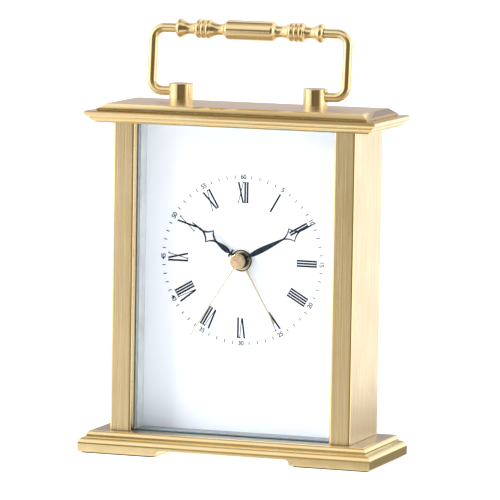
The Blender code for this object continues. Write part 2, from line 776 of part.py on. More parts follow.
def pillar_outline(side):
    """The plan of a side section: round edges and a reveal in front, hollow inside, a rib for the back."""
    outer = CASE_WIDTH / 2
    inner = outer - PILLAR_WIDTH
    wall = outer - PILLAR_WALL
    rebate = outer - REBATE
    edge = 0.5 * MM
    points = [(outer, CASE_BACK)]
    points += arc((outer - edge, CASE_FRONT + edge), edge, 0, -90, 3)
    shoulder = (inner + 1.0 * MM, CASE_FRONT)
    pull = (inner + 0.1 * MM, CASE_FRONT + 0.1 * MM)
    points += [shoulder] + quadratic(shoulder, pull, (inner, CASE_FRONT + 0.9 * MM), 4)
    points += [(inner, CAVITY_FRONT), (wall, CAVITY_FRONT), (wall, RIB_FRONT), (inner, RIB_FRONT)]
    points += [(inner, RIB_BACK), (rebate, RIB_BACK), (rebate, CASE_BACK)]
    holes = [circle(TIE_RADIUS + 0.2 * MM, 16, (TIE_X, y)) for y in TIE_Y]
    return [[(side * x, y) for x, y in loop] for loop in [points] + holes]


def side_pillars():
    low = BASE_TOP + SEAM
    high = TOP_UNDERSIDE - SEAM
    for side, name in ((-1, "side_pillar_left"), (1, "side_pillar_right")):
        mesh = outline_mesh(name, pillar_outline(side), high - low)
        made = add(name, mesh, (0, 0, (low + high) / 2), look="polished_brass")
        for level, z in enumerate(BACK_SCREW_Z, 1):
            span = (RIB_BACK - 4 * MM, RIB_BACK + MM)
            at = (side * BACK_SCREW_X, z)
            cut(made, rod_along_y(f"{name}_screw_hole_{level}", 0.8 * MM, span, at))


def top_plate():
    foot = 3.3 * MM
    profile = [(foot, TOP_UNDERSIDE), (foot, TOP_UNDERSIDE + 0.4 * MM)]
    profile += quarter_rings(profile[-1], (1.5 * MM, 125.6 * MM), False, 3)
    profile += quarter_rings(profile[-1], (0, TOP_TIP[0]), False, 3)[1:]
    rings = both_ways(profile)
    rings += [(0, 0, TOP_TIP[1])]
    rings += [(0.5 * MM, 0.4 * MM, TOP_TIP[1] + 0.2 * MM)]
    inset_x, inset_y = TOP_STEP_INSET
    rings += [(inset_x, inset_y, TOP_TIP[1] + 0.2 * MM), (inset_x, inset_y, TOP_STEP)]
    rings += [(inset_x + TOP_BEVEL, inset_y + TOP_BEVEL, TOP_FLAT)]
    made = moulding("top_plate", TOP_WIDTH, TOP_DEPTH, TOP_CENTRE_Y, rings, "polished_brass")
    span = (TOP_UNDERSIDE - MM, 128.4 * MM)
    for number, place in enumerate(tie_places(), 1):
        cut(made, rod_upright(f"tie_socket_{number}", TIE_RADIUS + 0.2 * MM, span, place))
    for side in (-1, 1):
        word = "left" if side < 0 else "right"
        where = (side * POST_X, 0)
        low = TOP_UNDERSIDE - MM
        head = rod_upright(f"post_counterbore_{word}", 2.6 * MM, (low, 125.3 * MM), where)
        hole = rod_upright(f"post_hole_{word}", 1.4 * MM, (low, TOP_FLAT + MM), where)
        cut(made, head, hole)


def slotted_screw(name, head_radius, head, shank_radius, shank, look, steps=12):
    """A cheese-head screw pointing along local Z from its head at 0, with a straight slot."""
    profile = (
        (0, shank),
        (shank_radius, shank),
        (shank_radius, head),
        (head_radius, head),
        (head_radius, 0),
        (0, 0),
    )
    screw = bpy.data.objects.new(name, turned_mesh(name, profile, steps))
    CUTTERS.objects.link(screw)
    slot = add(f"{name}_slot", box_mesh(name, (3 * head_radius, 0.7 * MM, 0.9 * MM)), (0, 0, 0))
    cut(screw, slot)
    mesh = evaluated_mesh(screw)
    bpy.data.objects.remove(slot, do_unlink=True)
    mesh.materials.append(material(look))
    return mesh


def case_screws():
    start, end = 1.0 * MM, 127.9 * MM
    mesh = slotted_screw("tie_screw", 3.0 * MM, 2.3 * MM, TIE_RADIUS, end - start, "steel")
    for number, (x, y) in enumerate(tie_places(), 1):
        add(f"tie_screw_{number}", mesh, (x, y, start), look="steel")
    mesh = slotted_screw("post_screw", 2.4 * MM, 1.4 * MM, 1.25 * MM, 8.9 * MM, "steel")
    for side, name in ((-1, "post_screw_left"), (1, "post_screw_right")):
        add(name, mesh, (side * POST_X, 0, TOP_UNDERSIDE + SEAM), look="steel")
    head = 1.0 * MM
    mesh = slotted_screw("back_screw", 1.8 * MM, head, 0.7 * MM, 4.6 * MM, "polished_brass")
    start = BACK_PANEL_FRONT + BACK_PANEL_THICKNESS + SEAM + head
    places = [(side * BACK_SCREW_X, z) for z in BACK_SCREW_Z for side in (-1, 1)]
    for number, (x, z) in enumerate(places, 1):
        add(f"back_screw_{number}", mesh, (x, start, z), FRONT, "polished_brass")


def glass_and_dial():
    """The pane, the dial behind it, and the frame that keeps them apart."""
    reach = CASE_WIDTH / 2 - PILLAR_WIDTH - SEAM
    low, high = BASE_TOP + SEAM, TOP_UNDERSIDE - SEAM
    glass_back = GLASS_FRONT + GLASS_THICKNESS
    box("front_glass", (-reach, GLASS_FRONT, low), (reach, glass_back, high), "glass")
    sheet = rectangle((-reach, low - DIAL_Z), (reach, high - DIAL_Z))
    span = (DIAL_FRONT, DIAL_FRONT + DIAL_THICKNESS)
    flat("dial_plate", [sheet, circle(BUSH[1] + 0.2 * MM)], span, CENTRE, "dial_white")
    inside = reach - SPACER_WALL
    window = rectangle(
        (-inside, low - DIAL_Z + SPACER_WALL), (inside, high - DIAL_Z - SPACER_WALL)
    )
    span = (glass_back + SEAM, DIAL_FRONT - SEAM)
    flat("dial_spacer", [sheet, window], span, CENTRE, "dial_white")


def back_panel():
    reach = CASE_WIDTH / 2 - REBATE - 0.2 * MM
    low, high = BASE_TOP + 0.2 * MM, TOP_UNDERSIDE - 0.2 * MM
    gap = 0.4 * MM
    side = MOVEMENT_HALF_WIDTH + gap
    opening = rectangle((-side, MOVEMENT_BOTTOM - gap), (side, MOVEMENT_TOP + gap))
    places = [(side * BACK_SCREW_X, z - DIAL_Z) for z in BACK_SCREW_Z for side in (-1, 1)]
    holes = [circle(0.95 * MM, 12, place) for place in places]
    loops = [rectangle((-reach, low - DIAL_Z), (reach, high - DIAL_Z)), opening] + holes
    span = (BACK_PANEL_FRONT, BACK_PANEL_FRONT + BACK_PANEL_THICKNESS)
    flat("back_panel", loops, span, CENTRE, "satin_brass")


# Handle


def handle_posts():
    chamfer = 0.25 * MM
    profile = (
        (0, POST_HEIGHT),
        (POST_RADIUS - chamfer, POST_HEIGHT),
        (POST_RADIUS, POST_HEIGHT - chamfer),
        (POST_RADIUS, 0),
        (0, 0),
    )
    mesh = turned_mesh("handle_post", profile, 32)
    for side, name in ((-1, "handle_post_left"), (1, "handle_post_right")):
        made = add(name, mesh.copy(), (side * POST_X, 0, TOP_FLAT + SEAM), look="polished_brass")
        reach = (24.4 * MM, 33 * MM)
        radius = WIRE_RADIUS + 0.12 * MM
        bore = rod_mesh(f"{name}_bore", radius, reach[1] - reach[0], 24)
        bore_piece = add(f"{name}_bore", bore, (side * sum(reach) / 2, 0, PIVOT_Z), SIDEWAYS)
        span = (TOP_FLAT - MM, 132.85 * MM)
        thread = rod_upright(f"{name}_thread", 1.35 * MM, span, (side * POST_X, 0))
        cut(made, bore_piece, thread)


def bail_half():
    """The right half of the bail's centre line, from inside its post to the middle, about the pivot."""
    low = (BAIL_HALF_WIDTH - BAIL_CORNER, BAIL_CORNER)
    high = (low[0], BAIL_HEIGHT - BAIL_CORNER)
    lower = arc(low, BAIL_CORNER, -90, 0, 7)
    upper = arc(high, BAIL_CORNER, 0, 90, 7)
    return [(BAIL_END, 0)] + lower + upper


def handle():
    pivot = bpy.data.objects.new("handle_pivot", None)
    pivot.location = (0, 0, PIVOT_Z)
    pivot.rotation_euler = (BAIL_LEAN, 0, 0)
    CLOCK.objects.link(pivot)
    half = bail_half()
    route = [(-x, z) for x, z in half] + list(reversed(half))
    curve = bpy.data.curves.new("handle_bail", "CURVE")
    curve.dimensions = "3D"
    curve.bevel_depth = WIRE_RADIUS
    curve.bevel_resolution = 3
    curve.use_fill_caps = True
    spline = curve.splines.new("POLY")
    spline.points.add(len(route) - 1)
    for point, (x, z) in zip(spline.points, route):
        point.co = (x, 0, z, 1)
    source = bpy.data.objects.new("bail_route", curve)
    CUTTERS.objects.link(source)
    bail = add("handle_bail", evaluated_mesh(source), (0, 0, 0), look="polished_brass")
    outer = [(r * MM, h * MM) for h, r in GRIP_PROFILE]
    bore = WIRE_RADIUS + 0.1 * MM
    end = GRIP_PROFILE[-1][0] * MM
    profile = list(reversed(outer)) + [(r, -h) for r, h in outer] + [(bore, -end), (bore, end)]
    mesh = turned_mesh("handle_grip", profile, 16, closed=True)
    grip = add("handle_grip", mesh, (0, 0, BAIL_HEIGHT), SIDEWAYS, "polished_brass")
    for piece in (bail, grip):
        piece.parent = pivot


# Movement pieces


def movement_box():
    size = (MOVEMENT_HALF_WIDTH, MOVEMENT_BOTTOM, MOVEMENT_TOP)
    sheet = rectangle((-size[0], size[1]), (size[0], size[2]))
    arbors = (MINUTE_WHEEL_AT, THIRD_AT, FIFTH_AT, ALARM_PINION_AT)
    holes = [circle(ARBOR_RADIUS + BEARING_GAP, 12, (x, z - DIAL_Z)) for x, z in arbors]
    holes.append(circle(ROTOR_ARBOR_RADIUS + BEARING_GAP, 12, (ROTOR_AT[0], ROTOR_AT[1] - DIAL_Z)))
    holes.append(circle(BUSH[1] + SEAM))
    span = (FRONT_PLATE_FRONT, FRONT_PLATE_FRONT + MOVEMENT_WALL)
    flat("movement_front_plate", [sheet] + holes, span, CENTRE, "black_plastic")

    low = (-size[0], HOUSING_FRONT, DIAL_Z + size[1])
    high = (size[0], HOUSING_BACK, DIAL_Z + size[2])
    housing = box("movement_housing", low, high, "black_plastic")
    wall = MOVEMENT_WALL
    hollow = box(
        "housing_hollow",
        (low[0] + wall, low[1] - MM, low[2] + wall),
        (high[0] - wall, high[1] - wall, high[2] - wall),
    )
    cut(housing, hollow)
    partition = box(
        "bay_partition",
        (low[0] + wall / 2, low[1] + SEAM, DIAL_Z + BAY_WALL[0]),
        (high[0] - wall / 2, high[1] - wall / 2, DIAL_Z + BAY_WALL[1]),
    )
    unite(housing, partition)
    side = MOVEMENT_HALF_WIDTH - 2.0 * MM
    bay = box(
        "battery_opening",
        (-side, HOUSING_BACK - 3 * MM, DIAL_Z + BATTERY_Z - BATTERY_RADIUS - 0.25 * MM),
        (side, HOUSING_BACK + MM, DIAL_Z + BATTERY_Z + BATTERY_RADIUS + 0.25 * MM),
    )
    tongue = SWITCH_TRAVEL + 2.1 * MM
    slot = box(
        "switch_slot",
        (SWITCH_X - 1.5 * MM, HOUSING_BACK - 3 * MM, DIAL_Z + SWITCH_Z - tongue),
        (SWITCH_X + 1.5 * MM, HOUSING_BACK + MM, DIAL_Z + SWITCH_Z + 2.1 * MM),
    )
    cut(housing, bay, slot)
    rear = (HOUSING_BACK - 3 * MM, HOUSING_BACK + MM)
    for index, centre in enumerate((CENTRE,) + arbors, 1):
        cut(housing, rod_along_y(f"rear_bearing_{index}", ARBOR_RADIUS + BEARING_GAP, rear, centre))
    cut(housing, rod_along_y("rotor_bearing", ROTOR_ARBOR_RADIUS + BEARING_GAP, rear, ROTOR_AT))
    sound_z, half, reach, pitch = DIAL_Z + BUZZER_Z, 0.45 * MM, 2.5 * MM, 2.0 * MM
    for index in range(5):
        x = BUZZER_X + (index - 2) * pitch
        low = (x - half, rear[0], sound_z - reach)
        cut(housing, box(f"sound_slot_{index + 1}", low, (x + half, rear[1], sound_z + reach)))


def centre_bush():
    front = -4.0 * MM
    made = ring_along_y("centre_bush", BUSH, (front, -0.15 * MM), CENTRE, "satin_brass")
    radii = ((BUSH[0] + BUSH[1]) / 2, 4.6 * MM)
    unite(made, ring_along_y("bush_flange", radii, (-0.65 * MM, -0.2 * MM), CENTRE))
    radii = (BUSH[1] + SEAM, 3.85 * MM)
    ring_along_y("dial_nut", radii, (front, -3.45 * MM), CENTRE, "satin_brass")


def circuit():
    box(
        "circuit_board",
        (-26.5 * MM, 0, DIAL_Z - 14 * MM),
        (-17.5 * MM, MM, DIAL_Z + 13 * MM),
        "circuit_green",
    )
    box(
        "control_chip",
        (-24.5 * MM, 1.1 * MM, DIAL_Z - 11 * MM),
        (-19.5 * MM, 2.5 * MM, DIAL_Z - 6 * MM),
        "black_plastic",
    )
    span = (DIAL_Z - 3 * MM, DIAL_Z + 3.2 * MM)
    rod_upright("quartz_crystal", 1.0 * MM, span, (-22 * MM, 2.2 * MM), "steel", 20)


def motor_parts():
    """The coil on its core, and the stator plate whose jaws go round the rotor."""
    coil_z = DIAL_Z + COIL_Z
    middle = (sum(COIL_ENDS) / 2, COIL_Y, coil_z)
    half = (COIL_ENDS[1] - COIL_ENDS[0]) / 2
    cheek, bore, tube, rim = 0.8 * MM, 0.92 * MM, 1.3 * MM, 3.0 * MM
    spool = (
        (rim, half),
        (rim, half - cheek),
        (tube, half - cheek),
        (tube, cheek - half),
        (rim, cheek - half),
        (rim, -half),
        (bore, -half),
        (bore, half),
    )
    mesh = turned_mesh("coil_bobbin", spool, 20, closed=True)
    add("coil_bobbin", mesh, middle, SIDEWAYS, "white_plastic")
    wound = 2 * (half - cheek - SEAM)
    mesh = ring_mesh("coil_winding", tube + SEAM, 2.8 * MM, wound, 24)
    add("coil_winding", mesh, middle, SIDEWAYS, "copper")
    box(
        "coil_core",
        (-25.0 * MM, COIL_Y - CORE_HALF, coil_z - CORE_HALF),
        (-1.5 * MM, COIL_Y + CORE_HALF, coil_z + CORE_HALF),
        "steel",
    )
    rotor = (ROTOR_AT[0], ROTOR_AT[1] - DIAL_Z)
    lower, upper, top = 10.2 * MM, 14.2 * MM, 20.0 * MM
    outline = [(-26.0 * MM, lower)] + arc(rotor, 4.6 * MM, 225, 495, 14)
    outline += [(0, rotor[1] + 3.25 * MM), (0, top), (-4.0 * MM, top), (-4.0 * MM, upper)]
    outline += [(-22.0 * MM, upper), (-22.0 * MM, top), (-26.0 * MM, top)]
    span = (COIL_Y + CORE_HALF + 0.3 * MM, COIL_Y + CORE_HALF + 1.3 * MM)
    flat("stator_plate", [outline, circle(2.9 * MM, 20, rotor)], span, CENTRE, "steel")


def buzzer():
    centre = (BUZZER_X, DIAL_Z + BUZZER_Z)
    rod_along_y("alarm_buzzer", BUZZER_RADIUS, BUZZER_SPAN, centre, "satin_brass", 28)


def alarm_switch():
    made = box(
        "alarm_switch",
        (SWITCH_X - 2.6 * MM, 13.0 * MM, DIAL_Z + SWITCH_Z - 2.6 * MM),
        (SWITCH_X + 2.6 * MM, 14.1 * MM, DIAL_Z + SWITCH_Z + 2.6 * MM),
        "white_plastic",
    )
    tongue = box(
        "switch_tongue",
        (SWITCH_X - 1.2 * MM, 13.5 * MM, DIAL_Z + SWITCH_Z - 1.8 * MM),
        (SWITCH_X + 1.2 * MM, 17.6 * MM, DIAL_Z + SWITCH_Z + 1.8 * MM),
    )
    unite(made, tongue)


def battery_and_contacts():
    left, right = BATTERY_ENDS
    length = right - left
    nub = (2.7 * MM, 1.1 * MM)
    bead = 0.5 * MM
    profile = (
        (0, length + nub[1]),
        (nub[0], length + nub[1]),
        (nub[0], length),
        (BATTERY_RADIUS - bead, length),
        (BATTERY_RADIUS, length - bead),
        (BATTERY_RADIUS, bead),
        (BATTERY_RADIUS - bead, 0),
        (0, 0),
    )
    at = (left, BATTERY_Y, DIAL_Z + BATTERY_Z)
    add("battery", turned_mesh("battery", profile, 28), at, SIDEWAYS, "battery_jacket")
    height = (DIAL_Z + BATTERY_Z - 4 * MM, DIAL_Z + BATTERY_Z + 4 * MM)
    near, bow, strip, reach = 0.2 * MM, 0.4 * MM, 0.3 * MM, 3.9 * MM
    for name, side, face in (
        ("battery_contact_positive", 1, right + nub[1] + near),
        ("battery_contact_negative", -1, -left + near),
    ):
        inner = [(face + bow, -reach), (face, 0), (face + bow, reach)]
        plan = inner + [(x + strip, y) for x, y in reversed(inner)]
        plan = [(side * x, y) for x, y in plan]
        mesh = outline_mesh(name, [plan], height[1] - height[0])
        add(name, mesh, (0, BATTERY_Y, sum(height) / 2), look="steel")


def build():
    base_plate()
    foot_pads()
    side_pillars()
    top_plate()
    case_screws()
    glass_and_dial()
    back_panel()
    handle_posts()
    handle()
    movement_box()
    centre_bush()
    circuit()
    motor_parts()
    buzzer()
    alarm_switch()
    battery_and_contacts()
    hour_wheel()
    centre_wheel()
    minute_wheel()
    third_wheel()
    second_arbor()
    fifth_wheel()
    motor_rotor()
    alarm_wheels()
    setting_knob("time_set_knob", MINUTE_WHEEL_AT)
    setting_knob("alarm_set_knob", ALARM_PINION_AT)
    hour_hand()
    minute_hand()
    second_hand()
    alarm_hand()


build()
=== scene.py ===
"""Looks of the mantel clock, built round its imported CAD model. Metres, +Z up, the dial faces -Y."""

import json
from math import copysign, cos, pi, radians, sin, tan

import bmesh
import bpy
from mathutils import Matrix, Vector


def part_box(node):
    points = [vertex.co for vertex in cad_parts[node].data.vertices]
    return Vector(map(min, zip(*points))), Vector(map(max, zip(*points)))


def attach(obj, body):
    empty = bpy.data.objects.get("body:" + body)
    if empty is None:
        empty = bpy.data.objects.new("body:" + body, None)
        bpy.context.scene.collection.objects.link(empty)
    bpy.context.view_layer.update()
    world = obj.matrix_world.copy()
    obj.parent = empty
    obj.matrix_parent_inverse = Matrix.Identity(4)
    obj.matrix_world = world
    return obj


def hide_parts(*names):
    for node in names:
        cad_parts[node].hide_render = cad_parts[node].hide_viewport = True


MM = 0.001
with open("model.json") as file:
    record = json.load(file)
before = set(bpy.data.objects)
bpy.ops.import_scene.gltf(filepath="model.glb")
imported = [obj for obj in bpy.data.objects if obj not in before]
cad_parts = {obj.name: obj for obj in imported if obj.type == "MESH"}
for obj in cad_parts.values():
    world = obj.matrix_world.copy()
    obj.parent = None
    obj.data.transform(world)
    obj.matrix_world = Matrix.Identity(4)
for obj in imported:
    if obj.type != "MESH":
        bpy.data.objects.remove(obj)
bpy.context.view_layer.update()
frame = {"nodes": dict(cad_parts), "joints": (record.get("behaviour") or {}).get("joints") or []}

SQUARE_ON = 0.99  # the part of a unit normal along an axis, for a face that looks along it
FLAT_UP = 0.999
LIP = 0.05 * MM  # how far a rebuilt piece stays inside its CAD solid where two pieces touch
FRONT = Matrix.Rotation(pi / 2, 4, "X")  # turns local Z to the front, and local Y up
SIDEWAYS = Matrix.Rotation(pi / 2, 4, "Y")  # turns local Z to +X
SMOOTH_ANGLE = radians(32)
RIM_ANGLE = radians(60)  # sharper than this, an edge of a plate is its rim
LEAST_TURN = radians(3)  # a flatter corner isn't rounded
MERGE = 0.0005 * MM


# Places, from the frame


def middle(node):
    low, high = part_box(node)
    return (low + high) / 2


def extent(node):
    low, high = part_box(node)
    return high - low


def joint(name):
    return next(j for j in frame["joints"] if j["name"] == name)


DIAL_CENTRE = Vector(joint("minute_turn")["pos_m"])
PIVOT = Vector(joint("handle_swing")["pos_m"])


def linked(name, data):
    """A new object in the scene."""
    made = bpy.data.objects.new(name, data)
    bpy.context.scene.collection.objects.link(made)
    return made


# Camera

CAMERA_AIM = Vector((1.78, 0, 76.8)) * MM
CAMERA_DISTANCE = 1.7896
CAMERA_AZIMUTH = radians(19.2)
CAMERA_ELEVATION = radians(6.22)
CAMERA_ROLL = radians(-0.93)
CAMERA_LENS = 346.7  # on a 36 mm sensor


def direction(azimuth, elevation):
    """Unit vector towards an azimuth, counted from the front (-Y) towards +X, and an elevation."""
    flat = cos(elevation)
    return Vector((sin(azimuth) * flat, -cos(azimuth) * flat, sin(elevation)))


def make_camera():
    data = bpy.data.cameras.new("camera")
    data.lens = CAMERA_LENS
    data.sensor_width = 36
    data.clip_start = 0.05
    made = linked("camera", data)
    back = direction(CAMERA_AZIMUTH, CAMERA_ELEVATION)
    made.location = CAMERA_AIM + back * CAMERA_DISTANCE
    turn = back.to_track_quat("Z", "Y") @ Matrix.Rotation(-CAMERA_ROLL, 3, "Z").to_quaternion()
    made.rotation_euler = turn.to_euler()
    bpy.context.scene.camera = made


# Node helpers


class Nodes:
    """Short names for the shader nodes of one material or world."""

    def __init__(self, tree):
        self.tree = tree
        tree.nodes.clear()

    def add(self, kind, inputs=None, **settings):
        node = self.tree.nodes.new(kind)
        for key, value in settings.items():
            setattr(node, key, value)
        for key, value in (inputs or {}).items():
            self.put(node.inputs[key], value)
        return node

    def put(self, socket, value):
        if isinstance(value, bpy.types.NodeSocket):
            self.tree.links.new(value, socket)
        elif isinstance(value, (tuple, list)) and len(value) == 3 and socket.type == "RGBA":
            socket.default_value = (*value, 1)
        else:
            socket.default_value = value

    def place(self, scale=(1, 1, 1)):
        """Object coordinates in metres, scaled. Pieces are built in place, so they share these."""
        where = self.add("ShaderNodeTexCoord").outputs["Object"]
        return self.add("ShaderNodeMapping", {"Vector": where, "Scale": scale}).outputs["Vector"]

    def noise(self, scale, detail=3, rough=0.55, stretch=(1, 1, 1)):
        settings = {"Vector": self.place(stretch), "Scale": scale, "Detail": detail, "Roughness": rough}
        return self.add("ShaderNodeTexNoise", settings).outputs["Fac"]

    def spread(self, value, low, high, start=0.0, end=1.0):
        inputs = {"Value": value, "From Min": start, "From Max": end, "To Min": low, "To Max": high}
        return self.add("ShaderNodeMapRange", inputs).outputs["Result"]

    def blend(self, factor, first, second):
        node = self.add("ShaderNodeMix", data_type="RGBA")
        self.put(node.inputs["Factor"], factor)
        self.put(node.inputs["A"], first)
        self.put(node.inputs["B"], second)
        return node.outputs["Result"]

    def maths(self, operation, first, second=0.0):
        node = self.add("ShaderNodeMath", operation=operation)
        self.put(node.inputs[0], first)
        self.put(node.inputs[1], second)
        return node.outputs[0]

    def bump(self, height, distance):
        inputs = {"Height": height, "Distance": distance, "Strength": 1.0}
        return self.add("ShaderNodeBump", inputs).outputs["Normal"]

    def finish(self, shader):
        self.add("ShaderNodeOutputMaterial", {"Surface": shader})


def material(name):
    made = bpy.data.materials.new(name)
    made.use_nodes = True
    return made, Nodes(made.node_tree)


def surface(nodes, colour, roughness, metallic=0.0, normal=None, **more):
    """A Principled shader. Further sockets are named in lower case, as in coat_weight."""
    inputs = {"Base Color": colour, "Roughness": roughness, "Metallic": metallic}
    for key, value in more.items():
        inputs[key.replace("_", " ").title().replace("Ior", "IOR")] = value
    if normal:
        inputs["Normal"] = normal
    return nodes.add("ShaderNodeBsdfPrincipled", inputs).outputs["BSDF"]


# Materials: the pale and the deep tone of each brass

BRASS_TONES = ((0.87, 0.68, 0.36), (0.81, 0.57, 0.25))
BRUSHED_TONES = ((0.87, 0.70, 0.42), (0.71, 0.52, 0.27))
# Lighter tones for the pillars' outer sides: painted light, as if the sides caught more light than the
# fronts.
LIT_SIDE_TONES = ((0.97, 0.81, 0.58), (0.83, 0.61, 0.39))
TOP_TONES = ((0.84, 0.71, 0.55), (0.72, 0.57, 0.42))
# A darker, greyer copy of the brass for the base's top: painted shade.
SHADED_BASE_TOP_TONES = ((0.52, 0.45, 0.34), (0.42, 0.35, 0.24))
HANDLE_TONES = ((0.80, 0.63, 0.35), (0.73, 0.53, 0.25))
GROOVE_TONES = ((0.66, 0.56, 0.38), (0.56, 0.46, 0.29))
GOLD_TONES = ((0.50, 0.41, 0.24), (0.40, 0.31, 0.17))
TURNED_TONES = ((0.54, 0.39, 0.24), (0.40, 0.285, 0.165))
COAT = {"coat_weight": 0.15, "coat_roughness": 0.08}


def brass(name, roughness, grain=None, depth=0.0, tones=BRASS_TONES, streaks=0.55):
    """Lacquered brass. The grain stretches the axes: large across the brush lines, small along them."""
    made, nodes = material(name)
    cloud = nodes.noise(45, 2)
    colour = nodes.blend(nodes.spread(cloud, 0.0, 0.35, 0.35, 0.65), *tones)
    low, high = roughness
    if grain:
        coarse = nodes.noise(1000, 3, 0.65, grain)
        fine = nodes.noise(4200, 2, 0.6, grain)
        lines = nodes.maths("ADD", nodes.maths("MULTIPLY", coarse, 0.6), nodes.maths("MULTIPLY", fine, 0.4))
        colour = nodes.blend(nodes.spread(lines, 0.0, streaks, 0.44, 0.62), colour, tones[1])
        rough = nodes.spread(lines, low, high, 0.35, 0.65)
        normal = nodes.bump(lines, depth)
    else:
        wear = nodes.noise(220, 4, 0.6)
        rough = nodes.spread(wear, low, high, 0.3, 0.7)
        normal = nodes.bump(nodes.noise(160, 2), depth)
    nodes.finish(surface(nodes, colour, rough, 1.0, normal, **COAT))
    return made


def turned_brass(name):
    """Brass turned on a lathe about Y, with rings that spread its highlight into two fans."""
    made, nodes = material(name)
    where = nodes.add("ShaderNodeTexCoord").outputs["Object"]
    offset = nodes.add("ShaderNodeVectorMath", {0: where, 1: tuple(DIAL_CENTRE)}, operation="SUBTRACT")
    split = nodes.add("ShaderNodeSeparateXYZ", {0: offset.outputs[0]})
    across = nodes.maths("POWER", split.outputs["X"], 2.0)
    up = nodes.maths("POWER", split.outputs["Z"], 2.0)
    radius = nodes.maths("SQRT", nodes.maths("ADD", across, up))
    rings = nodes.add("ShaderNodeTexNoise", {"Scale": 9000.0, "Detail": 2.0}, noise_dimensions="1D")
    nodes.put(rings.inputs["W"], radius)
    shade = rings.outputs["Fac"]
    colour = nodes.blend(nodes.spread(shade, 0.0, 0.7, 0.3, 0.7), *TURNED_TONES)
    rough = nodes.spread(shade, 0.22, 0.36)
    normal = nodes.bump(shade, 0.02 * MM)
    tangent = nodes.add("ShaderNodeTangent", direction_type="RADIAL", axis="Y").outputs["Tangent"]
    shader = surface(nodes, colour, rough, 1.0, normal, anisotropic=0.75, tangent=tangent)
    nodes.finish(shader)
    return made


def lacquer(name, colour, edge_colour, roughness=0.4, shine=0.15):
    made, nodes = material(name)
    cloud = nodes.noise(600, 3)
    tint = nodes.blend(nodes.spread(cloud, 0.0, 1.0, 0.3, 0.7), colour, edge_colour)
    rough = nodes.spread(nodes.noise(2500, 2), roughness - 0.06, roughness + 0.08)
    normal = nodes.bump(nodes.noise(5000, 2), 0.004 * MM)
    nodes.finish(surface(nodes, tint, rough, 0.0, normal, specular_ior_level=shine))
    return made


def dial_paint():
    made, nodes = material("dial_paint")
    cloud = nodes.noise(30, 2)
    colour = nodes.blend(cloud, (0.85, 0.88, 0.94), (0.87, 0.895, 0.95))
    rough = nodes.spread(nodes.noise(1500, 3), 0.42, 0.55)
    normal = nodes.bump(nodes.noise(4000, 2), 0.003 * MM)
    nodes.finish(surface(nodes, colour, rough, 0.0, normal))
    return made


def plastic(name, colour, roughness=0.45, texture=0.02):
    """Moulded plastic with a fine spark-eroded texture."""
    made, nodes = material(name)
    grain = nodes.noise(2600, 4, 0.65)
    lighter = tuple(min(1, c * 1.25 + 0.006) for c in colour)
    shade = nodes.blend(nodes.spread(nodes.noise(120, 3), 0, 1, 0.3, 0.7), colour, lighter)
    rough = nodes.spread(grain, roughness - 0.08, roughness + 0.12, 0.3, 0.7)
    normal = nodes.bump(grain, texture * MM)
    nodes.finish(surface(nodes, shade, rough, 0.0, normal))
    return made


def plated_steel(name, colour=(0.62, 0.61, 0.59), roughness=(0.22, 0.42), grain=(1, 1, 1)):
    made, nodes = material(name)
    lines = nodes.noise(1400, 4, 0.6, grain)
    darker = tuple(c * 0.82 for c in colour)
    shade = nodes.blend(nodes.spread(lines, 0, 1, 0.35, 0.65), colour, darker)
    rough = nodes.spread(lines, *roughness)
    nodes.finish(surface(nodes, shade, rough, 1.0, nodes.bump(lines, 0.006 * MM)))
    return made


def felt():
    made, nodes = material("black_felt")
    fibres = nodes.noise(2200, 5, 0.75)
    shade = nodes.blend(nodes.spread(fibres, 0, 1, 0.35, 0.65), (0.012, 0.012, 0.013), (0.045, 0.045, 0.048))
    normal = nodes.bump(fibres, 0.25 * MM)
    nodes.finish(surface(nodes, shade, 0.95, 0.0, normal, sheen_weight=0.4, sheen_roughness=0.5))
    return made


def copper_winding():
    """Enamelled wire wound along X."""
    made, nodes = material("copper_winding")
    turns = nodes.add("ShaderNodeTexWave", {"Vector": nodes.place(), "Scale": 1400.0, "Distortion": 0.6})
    shade = nodes.blend(turns.outputs["Fac"], (0.30, 0.10, 0.04), (0.80, 0.38, 0.18))
    rough = nodes.spread(nodes.noise(900, 2), 0.2, 0.35)
    nodes.finish(surface(nodes, shade, rough, 1.0, nodes.bump(turns.outputs["Fac"], 0.08 * MM)))
    return made


def circuit_board():
    made, nodes = material("solder_mask")
    cells = nodes.add("ShaderNodeTexBrick", {"Vector": nodes.place(), "Scale": 260.0, "Mortar Size": 0.03})
    tracks = nodes.spread(cells.outputs["Fac"], 0.0, 1.0)
    weave = nodes.noise(1800, 3)
    green = nodes.blend(weave, (0.012, 0.10, 0.045), (0.02, 0.15, 0.07))
    shade = nodes.blend(tracks, green, (0.05, 0.26, 0.12))
    nodes.finish(surface(nodes, shade, nodes.spread(weave, 0.25, 0.4), 0.0, nodes.bump(tracks, 0.03 * MM)))
    return made


GLASS_INDEX = 1.12
GLASS_CLEAR = (0.97, 0.98, 0.98)


def window_glass(name):
    """Clear glass with a bloomed face that hardly mirrors. It lets lamps and soft light straight through."""
    made, nodes = material(name)
    smears = nodes.noise(25, 3, 0.6)
    rough = nodes.spread(smears, 0.0, 0.012, 0.4, 0.8)
    inputs = {"Color": (1.0, 1.0, 1.0), "Roughness": rough, "IOR": GLASS_INDEX}
    glass = nodes.add("ShaderNodeBsdfGlass", inputs).outputs["BSDF"]
    clear = nodes.add("ShaderNodeBsdfTransparent", {"Color": GLASS_CLEAR}).outputs["BSDF"]
    path = nodes.add("ShaderNodeLightPath")
    unseen = nodes.maths("MAXIMUM", path.outputs["Is Shadow Ray"], path.outputs["Is Diffuse Ray"])
    mixed = nodes.add("ShaderNodeMixShader", {0: unseen, 1: glass, 2: clear})
    nodes.finish(mixed.outputs[0])
    return made


BAND_START = 0.72  # share of the cell's length
BAND_BLUR = 0.05 * MM


